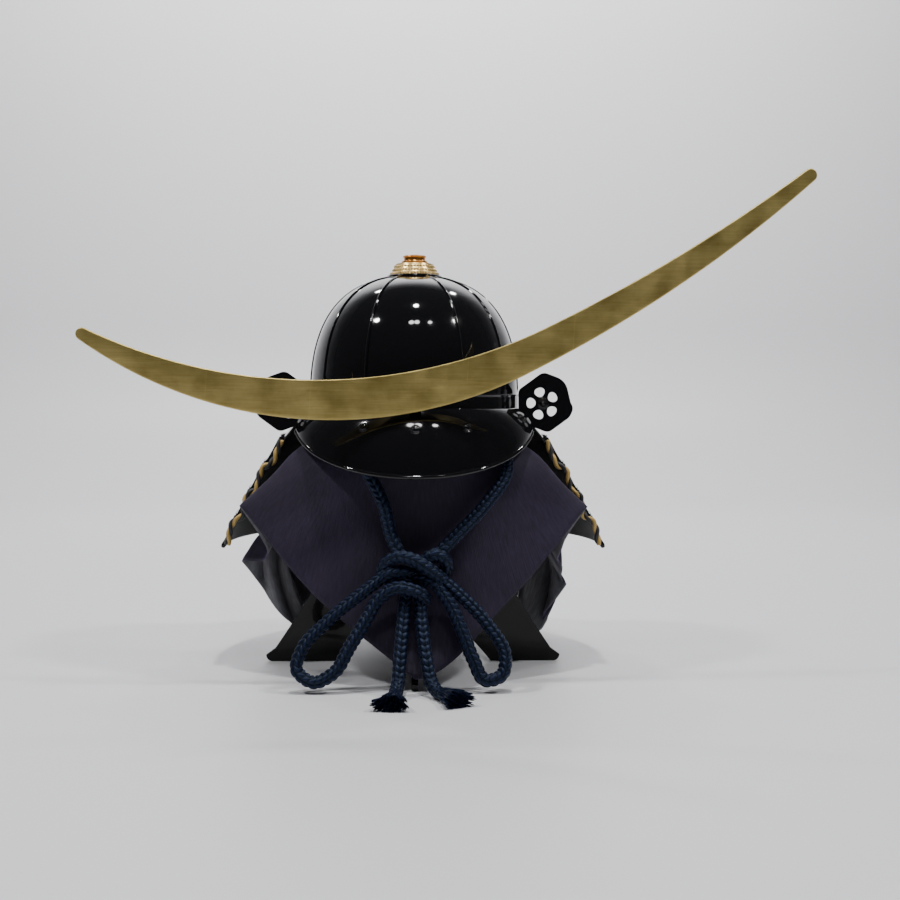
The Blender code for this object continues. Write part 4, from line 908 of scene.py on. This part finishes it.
def lame_edges(number):
    """Half widths and heights of one lame's inner face, at its top and foot edges."""
    top_half = BOWL_HALF_WIDTH + BAND_WALL + 2 * BAND_GAP + FIT
    height = LAME_TOP_Z - LAME_FOOT_Z
    pitch = (height - LAME_OVERLAP) / LAMES
    spread = LAME_FOOT_HALF_WIDTH - LAME_WALL - top_half - LAME_STEP * (LAMES - 1)
    top = LAME_TOP_Z - number * pitch
    return [(top_half + spread * ((LAME_TOP_Z - z) / height) ** LAME_FLARE_POWER + LAME_STEP * number, z)
            for z in (top, top - pitch - LAME_OVERLAP)]


def lame_end(half_width):
    """Angle from the front at which a lame of a half width meets the plane of the front edges."""
    return np.arccos(-LAME_FRONT_Y / (half_width * PLAN_RATIO))


def lame_at(number, share):
    """Half width and height of a lame's inner face at a share of its way from its top to its foot."""
    (top_half, top_z), (foot_half, foot_z) = lame_edges(number)
    return top_half + (foot_half - top_half) * share, top_z + (foot_z - top_z) * share


dull_lacquer, _ = finish("dull_lacquer_inside", (0.006, 0.006, 0.007), 0.62, specular_ior_level=0.10)
down = np.concatenate([np.linspace(0.0, 0.12, 9), np.linspace(0.15, 0.88, 12), np.linspace(0.90, 1.0, 8)])
for number in range(LAMES):
    half, z = lame_at(number, down)
    end = lame_end(half)[None, :]
    angle = end + (2 * math.pi - 2 * end) * np.linspace(0.0, 1.0, 181)[:, None]
    base = oval(half[None, :], angle, z)[::-1]
    outward = grid_normals(base)
    outward *= np.sign((outward * (base * [1.0, 1.0, 0.0])).sum(axis=-1, keepdims=True))
    top_lip, foot_lip = bell(down, 0.0, 0.05) * (number > 0), bell(down, 1.0, 0.05) * (number == LAMES - 1)
    lip = LAME_LIP * (top_lip + foot_lip)
    inner = base + outward * (lip * 0.6)[None, :, None]
    outer = base + outward * (LAME_WALL + lip)[None, :, None]
    lame = walled(f"lacquered_lame_{number + 1}", outer, inner)
    in_place(lame, [helmet_lacquer, dull_lacquer, helmet_lacquer], "black_lacquer",
             f"shikoro_lame_{number + 1}", rounding=0.0005)

# ---- Ear laces ----------------------------------------------------------------------------------
# Twisted cord of gold and black silk down the front edges of the lames, in at each overlap and out at
# each foot, stitched through the edge.

EAR_LACE_RADIUS = 0.0030
STRAND_RADIUS = 0.0019
STRAND_OFFSET = 0.0015
STRAND_TURN = 0.0205
LACE_START = 0.6
SWEPT_SPACING = 0.0006
LACE_STITCHES = (0.15, 0.9)
LAME_BEAD_RADIUS = 0.0013
LAME_KNOB_RADIUS = 0.0024


def resample(points, spacing):
    """Points at an even spacing on a smooth curve through the points given."""
    points = np.asarray(points, float)
    keys = arc_length(points)
    fine = hermite(keys, points, np.linspace(0.0, keys[-1], 1500))
    run = arc_length(fine)
    stations = np.linspace(0.0, run[-1], max(4, round(run[-1] / spacing) + 1))
    return np.stack([np.interp(stations, run, fine[:, axis]) for axis in range(3)], axis=1)


def twisted(turn, run):
    """Relief of fine threads laid round a strand: five ridges that wind round once in 9 mm."""
    return 0.00025 * np.abs(np.cos(math.pi * (turn * 5 + run / 0.0018)))


def around_path(path, offset, turn_length, start):
    """A path that winds round another one at an offset, once in each turn length."""
    along = unit(np.gradient(path, axis=0))
    side = unit(np.cross(along, [0.0, 1.0, 0.0]))
    turn = (2 * math.pi * arc_length(path) / turn_length + start)[:, None]
    return path + offset * (side * np.cos(turn) + np.cross(along, side) * np.sin(turn))


def lace_silk(name, colour, metallic):
    """Twisted silk, with painted shade that darkens it between its threads, where its relief is low."""
    material, shader = finish(name, colour, 0.50, metallic, sheen_weight=0.25, sheen_roughness=0.4)
    relief = node(material, "Attribute", attribute_name="relief").outputs["Fac"]
    # dark and light: painted shade between the threads, and a lighter tone on their tops, mixed by the
    # relief.
    dark, light = ((*(c * share for c in colour), 1.0) for share in (0.35, 1.25))
    fibres = noise(material, object_place(material), 1800.0, 2.0)
    feed(material, shader, base_color=mixed(material, relief, dark, light, "RGBA"),
         normal=bump(material, fibres, 0.3, 0.0003))
    return material


gold_silk = lace_silk("gold_lace_silk", (0.50, 0.33, 0.10), 0.3)
black_silk = lace_silk("black_lace_silk", (0.012, 0.011, 0.013), 0.0)
lace_path = []
for number in range(1, LAMES):
    for share in LACE_STITCHES:
        half, z = lame_at(number, share)
        half += LAME_WALL / 2
        lace_path.append((half * math.sin(lame_end(half)) - 0.0012, LAME_FACE_Y - EAR_LACE_RADIUS - FIT, z))
bead_share = np.linspace(0.05, 1.0, 60)
bead_out = 0.0010 + 0.0012 * np.sin(bead_share * math.pi / 2) ** 6
bead_radius = LAME_BEAD_RADIUS + (LAME_KNOB_RADIUS - LAME_BEAD_RADIUS) * bell(bead_share, 0.93, 0.10)
for side, sign in (("left", -1.0), ("right", 1.0)):
    path = resample(np.array(lace_path) * [sign, 1.0, 1.0], SWEPT_SPACING)
    for strand, strand_silk, start, replaced in (("gold", gold_silk, LACE_START, (f"ear_lace_{side}",)),
                                                 ("black", black_silk, LACE_START + math.pi, ())):
        strand_path = around_path(path, STRAND_OFFSET, sign * STRAND_TURN, start)
        lace = swept(f"lace_{strand}_{side}", strand_path, STRAND_RADIUS, 30, relief=twisted)
        in_place(lace, [strand_silk], "gold_black_lace", *replaced)
    for number in range(1, LAMES):
        half, z = lame_at(number, bead_share)
        half = half + LAME_WALL * 0.7
        bead_path = np.stack([sign * (half * np.sin(lame_end(half)) + bead_out),
                              np.full_like(half, LAME_FRONT_Y - 0.0004), z], axis=1)
        lacquered(swept(f"lame_front_roll_{number + 1}_{side}", bead_path, bead_radius, 24))

# ---- Turned-back plates -------------------------------------------------------------------------
# The front ends of the first lame are turned out into flat lacquered plates, pierced with a flower of
# five petals round a ringed stud.

EAR_PLATE = 0.002
EAR_CENTRE_X, EAR_CENTRE_Z = 0.1315, 0.2725
EAR_CORNERS = (
    (-0.0250, 0.0140, 0.004), (0.0003, 0.0325, 0.005), (0.0235, 0.0240, 0.014), (0.0288, 0.0020, 0.0012),
    (0.0318, -0.0045, 0.004), (0.0285, -0.0135, 0.004), (0.0060, -0.0300, 0.005), (-0.0080, -0.0245, 0.004),
    (-0.0200, -0.0225, 0.002), (-0.0248, -0.0060, 0.002),
)
PETALS, PETAL_RADIUS, PETAL_LENGTH, PETAL_WIDTH, PETAL_SWELL = 5, 0.0119, 0.0094, 0.0104, 0.18
FIRST_PETAL_DEG = 105.0


def rounded(corners, steps=12):
    """Outline through corners (x, z, rounding), each one cut off by a bow."""
    outline = []
    for i, (x, z, radius) in enumerate(corners):
        here = np.array([x, z])
        ways = [np.array(corners[(i + d) % len(corners)][:2]) - here for d in (-1, 1)]
        reach = min(radius, 0.45 * min(np.linalg.norm(w) for w in ways))
        start, end = (here + w / np.linalg.norm(w) * reach for w in ways)
        t = np.linspace(0.0, 1.0, steps + 1)[:, None]
        outline.append((1 - t) ** 2 * start + 2 * t * (1 - t) * here + t**2 * end)
    return np.concatenate(outline)


petal_turn = np.linspace(0.0, 2 * math.pi, 40, endpoint=False)
out = PETAL_RADIUS + PETAL_LENGTH / 2 * np.cos(petal_turn)
wide = PETAL_WIDTH / 2 * np.sin(petal_turn) * (1.0 + PETAL_SWELL * np.cos(petal_turn))
petals = []
for petal in range(PETALS):
    turn = math.radians(FIRST_PETAL_DEG + petal * 360.0 / PETALS)
    petals.append(np.stack([math.cos(turn) * out - math.sin(turn) * wide,
                            math.sin(turn) * out + math.cos(turn) * wide], axis=1))
ear_front_y = LAME_FACE_Y - FIT - EAR_PLATE
boss_section = domed(0.0024, 0.0016, 0.0018, (0.0028, 0.0010), (0.0033, 0.0016), (0.0038, 0.0018),
                     (0.0043, 0.0011), (0.0048, 0.0013), (0.0056, 0.0013), (0.0063, 0.0008),
                     (0.0066, 0.0), (0.0064, -0.0004), (0.0, -0.0004))
for side, sign in (("left", -1.0), ("right", 1.0)):
    centre = np.array([sign * EAR_CENTRE_X, EAR_CENTRE_Z])
    outline, *flower = (ring * [sign, 1.0] + centre for ring in (rounded(EAR_CORNERS), *petals))
    ear_plate = upright_plate(f"ear_plate_{side}", outline, EAR_PLATE, ear_front_y, flower)
    lacquered(ear_plate, f"fukigaeshi_{side}", rounding=0.0006, segments=3)
    boss = stud(f"ear_stud_{side}", (centre[0], ear_front_y - FIT, centre[1]), (0.0, -1.0, 0.0), boss_section)
    lacquered(boss, f"fukigaeshi_boss_{side}")

# ---- Chin cord ----------------------------------------------------------------------------------
# One braided navy silk cord, hitched to a small ring under the band on each side, tied in a bow in
# front of the cloth and let down to the floor, where its two tassels lie.

CORD_RADIUS = 0.0062
BRAID_RELIEF = 0.0019
BRAID_PITCH = 0.0064
CORD_RINGS_DEG = {"left": -40.0, "right": 50.0}
CORD_RING_RADIUS, CORD_RING_WIRE = 0.0055, 0.0014
CORD_ROUTES = {
    "lead_left": ((-0.0705, -0.0967, 0.2453), (-0.0655, -0.1090, 0.2310), (-0.0450, -0.1260, 0.2050),
                  (-0.0300, -0.1300, 0.1750), (-0.0225, -0.1360, 0.1460), (-0.0142, -0.1408, 0.1281)),
    "lead_right": ((0.0832, -0.0816, 0.2465), (0.0885, -0.0930, 0.2290), (0.0895, -0.1050, 0.2060),
                   (0.0690, -0.1225, 0.1763), (0.0380, -0.1340, 0.1450), (0.0172, -0.1404, 0.1242)),
    "loop_left": ((-0.0303, -0.1420, 0.1078), (-0.0489, -0.1440, 0.0935), (-0.0843, -0.1490, 0.0650),
                  (-0.1064, -0.1540, 0.0404), (-0.1110, -0.1580, 0.0225), (-0.0950, -0.1610, 0.0110),
                  (-0.0765, -0.1605, 0.0195), (-0.0610, -0.1570, 0.0440), (-0.0461, -0.1520, 0.0680),
                  (-0.0350, -0.1490, 0.0870), (-0.0240, -0.1500, 0.0965)),
    "loop_right": ((0.0262, -0.1430, 0.1050), (0.0402, -0.1440, 0.0930), (0.0691, -0.1490, 0.0630),
                   (0.0855, -0.1545, 0.0341), (0.0820, -0.1590, 0.0170), (0.0665, -0.1610, 0.0125),
                   (0.0544, -0.1585, 0.0330), (0.0446, -0.1545, 0.0580), (0.0330, -0.1490, 0.0830),
                   (0.0227, -0.1460, 0.0985)),
    "tail_left": ((-0.0085, -0.1420, 0.0902), (-0.0115, -0.1535, 0.0640), (-0.0140, -0.1665, 0.0350),
                  (-0.0160, -0.1780, 0.0130), (-0.0180, -0.1920, 0.0068), (-0.0195, -0.2050, 0.0068)),
    "tail_right": ((0.0045, -0.1420, 0.0902), (0.0065, -0.1535, 0.0640), (0.0105, -0.1665, 0.0350),
                   (0.0155, -0.1770, 0.0130), (0.0210, -0.1870, 0.0068), (0.0260, -0.1960, 0.0068)),
}
KNOT_WRAPS = (
    ((-0.0303, -0.1420, 0.1078), (-0.0241, -0.1445, 0.1115), (-0.0106, -0.1430, 0.1129),
     (-0.0007, -0.1370, 0.1095)),
    ((-0.0318, -0.1350, 0.1090), (-0.0285, -0.1410, 0.1195), (-0.0165, -0.1470, 0.1272),
     (-0.0021, -0.1500, 0.1251), (0.0102, -0.1510, 0.1180), (0.0190, -0.1480, 0.1115),
     (0.0262, -0.1430, 0.1050)),
    ((0.0010, -0.1360, 0.1125), (0.0084, -0.1420, 0.1225), (0.0189, -0.1455, 0.1291),
     (0.0281, -0.1435, 0.1246), (0.0300, -0.1380, 0.1158), (0.0242, -0.1330, 0.1078)),
    ((-0.0240, -0.1500, 0.0965), (-0.0150, -0.1525, 0.0995), (-0.0040, -0.1535, 0.0975),
     (0.0054, -0.1510, 0.0930), (0.0112, -0.1440, 0.0855)),
    ((0.0006, -0.1390, 0.1070), (0.0120, -0.1440, 0.1065), (0.0227, -0.1460, 0.0985)),
    ((-0.0260, -0.1370, 0.1000), (-0.0143, -0.1410, 0.1057), (0.0006, -0.1370, 0.1000)),
    ((-0.0085, -0.1400, 0.1010), (-0.0085, -0.1425, 0.0902)),
    ((0.0045, -0.1400, 0.1010), (0.0045, -0.1425, 0.0902)),
)


def braided(turn, run):
    """Relief of a round braid: six columns of stitches round the cord, slanted one way in odd columns
    and the other way in even ones, so that they meet in chevrons. Each stitch is a plump pillow."""
    column = turn * 6
    across = (column % 1.0) * 2 - 1.0
    slant = np.where(np.floor(column) % 2 == 0, across, -across) * 0.36
    along = (run / BRAID_PITCH + slant) % 1.0 * 2 - 1.0
    return BRAID_RELIEF * ((1.0 - np.abs(across) ** 2.2) * (1.0 - np.abs(along) ** 2.0)) ** 0.6


braid, braid_shader = finish("navy_braid", (0.006, 0.011, 0.034), 0.46, sheen_weight=0.03,
                             sheen_roughness=0.35, sheen_tint=(0.45, 0.55, 0.85, 1.0),
                             specular_ior_level=0.35, specular_tint=(0.50, 0.66, 1.0, 1.0))
# The braid's colour is painted shade: near black where its relief is low, in the hollows between the
# stitches, and navy on their tops.
relief = node(braid, "Attribute", attribute_name="relief").outputs["Fac"]
raised = node(braid, "Math", {0: relief, 1: 1.7}, operation="POWER").outputs["Value"]
feed(braid, braid_shader,
     base_color=mixed(braid, raised, (0.0004, 0.0006, 0.0018, 1.0), (0.0036, 0.0074, 0.027, 1.0), "RGBA"),
     normal=bump(braid, noise(braid, object_place(braid), 1500.0, 3.0), 0.35, 0.0005))

for side, degrees in CORD_RINGS_DEG.items():
    angle = math.radians(degrees)
    across = unit([math.cos(angle), PLAN_RATIO * math.sin(angle), 0.0])
    ring_z = BAND_FOOT_Z - FIT - CORD_RING_RADIUS - CORD_RING_WIRE
    centre = oval(BOWL_HALF_WIDTH, np.array(angle), ring_z, BAND_GAP + BAND_WALL / 2)
    t = np.linspace(0.0, 2 * math.pi, 64, endpoint=False)[:, None]
    ring_path = centre + CORD_RING_RADIUS * (np.cos(t) * across + np.sin(t) * [0.0, 0.0, 1.0])
    ring = swept(f"hitch_ring_{side}", ring_path, CORD_RING_WIRE, 16, closed=True)
    in_place(ring, [pale_gilt], "pale_gilt", f"cord_ring_{side}")

cord_body = CORD_RADIUS - BRAID_RELIEF * 0.75
for number, wrap in enumerate(KNOT_WRAPS):
    part = swept(f"knot_wrap_{number}", resample(wrap, SWEPT_SPACING), cord_body, 48, relief=braided)
    in_place(part, [braid], "navy_braid", *(("cord_knot",) if number == 0 else ()))
cord_pieces = {}
for key, route in CORD_ROUTES.items():
    path = resample(route, SWEPT_SPACING)
    stretch = swept("braid_" + key, path, cord_body, 48, relief=braided)
    in_place(stretch, [braid], "navy_braid", "cord_" + key)
    cord_pieces[key] = (stretch, path + AXIS)

TASSEL_LENGTH = {"left": 0.032, "right": 0.029}
TASSEL_HALF_WIDTH = {"left": 0.0185, "right": 0.0165}
TASSEL_HALF_HEIGHT = 0.0100
TASSEL_STRANDS = 260
STRAND_THICKNESS = 0.00065
HEAD_SHARE = 0.34
HEAD_STATIONS = (0.0, 0.02, 0.08, 0.16, 0.22, 0.26, 0.30, 0.34)
HEAD_SIZES = (0.30, 0.42, 0.52, 0.53, 0.42, 0.40, 0.43, 0.40)
rng = np.random.default_rng(7)
for side in ("left", "right"):
    route = np.array(CORD_ROUTES["tail_" + side])
    ahead = unit((route[-1] - route[-2]) * [1.0, 1.0, 0.0])
    across = np.array([-ahead[1], ahead[0], 0.0])
    length, half_width = TASSEL_LENGTH[side], TASSEL_HALF_WIDTH[side]
    start = route[-1] + ahead * 0.0012
    run = np.linspace(0.0, 1.0, 14)
    place_in = np.sqrt(rng.random(TASSEL_STRANDS))
    turn = rng.random(TASSEL_STRANDS) * 2 * math.pi
    reach = length * (0.93 + 0.10 * rng.random(TASSEL_STRANDS))
    skirt = 0.40 + 0.60 * np.clip((run - 0.28) / 0.72, 0.0, 1.0) ** 0.8
    spread = skirt[None] + 0.06 * np.sin(9 * run)[None] * rng.normal(size=(TASSEL_STRANDS, 1))
    wide = half_width * (place_in * np.cos(turn))[:, None] * spread
    tall = TASSEL_HALF_HEIGHT * (0.62 + 0.30 * run)[None] * (place_in * np.sin(turn))[:, None]
    loose_ends = 0.0006 * rng.normal(size=(TASSEL_STRANDS, 1)) * run
    lines = start + ahead * (reach[:, None] * run[None])[..., None] + across * wide[..., None]
    lines[..., 2] = np.maximum(TASSEL_HALF_HEIGHT * 0.68 + tall + loose_ends, 0.0007)
    thin = (STRAND_THICKNESS * np.sqrt(1.0 - 0.98 * run**10))[None, :, None, None]
    t = np.linspace(0.0, 2 * math.pi, 5, endpoint=False)
    rings = lines[:, :, None] + thin * (np.cos(t)[:, None] * across + np.sin(t)[:, None] * [0.0, 0.0, 1.0])
    quads, _ = grid_quads(len(run), len(t) + 1, False)
    column, row = np.divmod(quads, len(t) + 1)
    quads = column * len(t) + row % len(t)
    firsts = np.arange(TASSEL_STRANDS)[:, None, None] * (len(run) * len(t))
    fringe = mesh_object(f"tassel_fringe_{side}", rings.reshape(-1, 3),
                         (firsts + quads[None]).reshape(-1, 4)[:, ::-1])
    keep_relief(fringe, np.repeat(0.75 + 0.25 * rng.random(TASSEL_STRANDS), len(run) * len(t)))
    in_place(fringe, [braid], "navy_braid", f"tassel_{side}")
    head_run = np.linspace(0.0, HEAD_SHARE, 60)
    head_size = np.interp(head_run, HEAD_STATIONS, HEAD_SIZES) * half_width * 0.95
    head_line = start + ahead * (head_run * length)[:, None]
    head_line[:, 2] = TASSEL_HALF_HEIGHT * 0.68
    head = swept(f"tassel_head_{side}", head_line, np.minimum(head_size, TASSEL_HALF_HEIGHT * 0.48), 48,
                 relief=braided)
    in_place(head, [braid], "navy_braid")

for key, (stretch, path) in cord_pieces.items():
    kind, side = key.split("_")
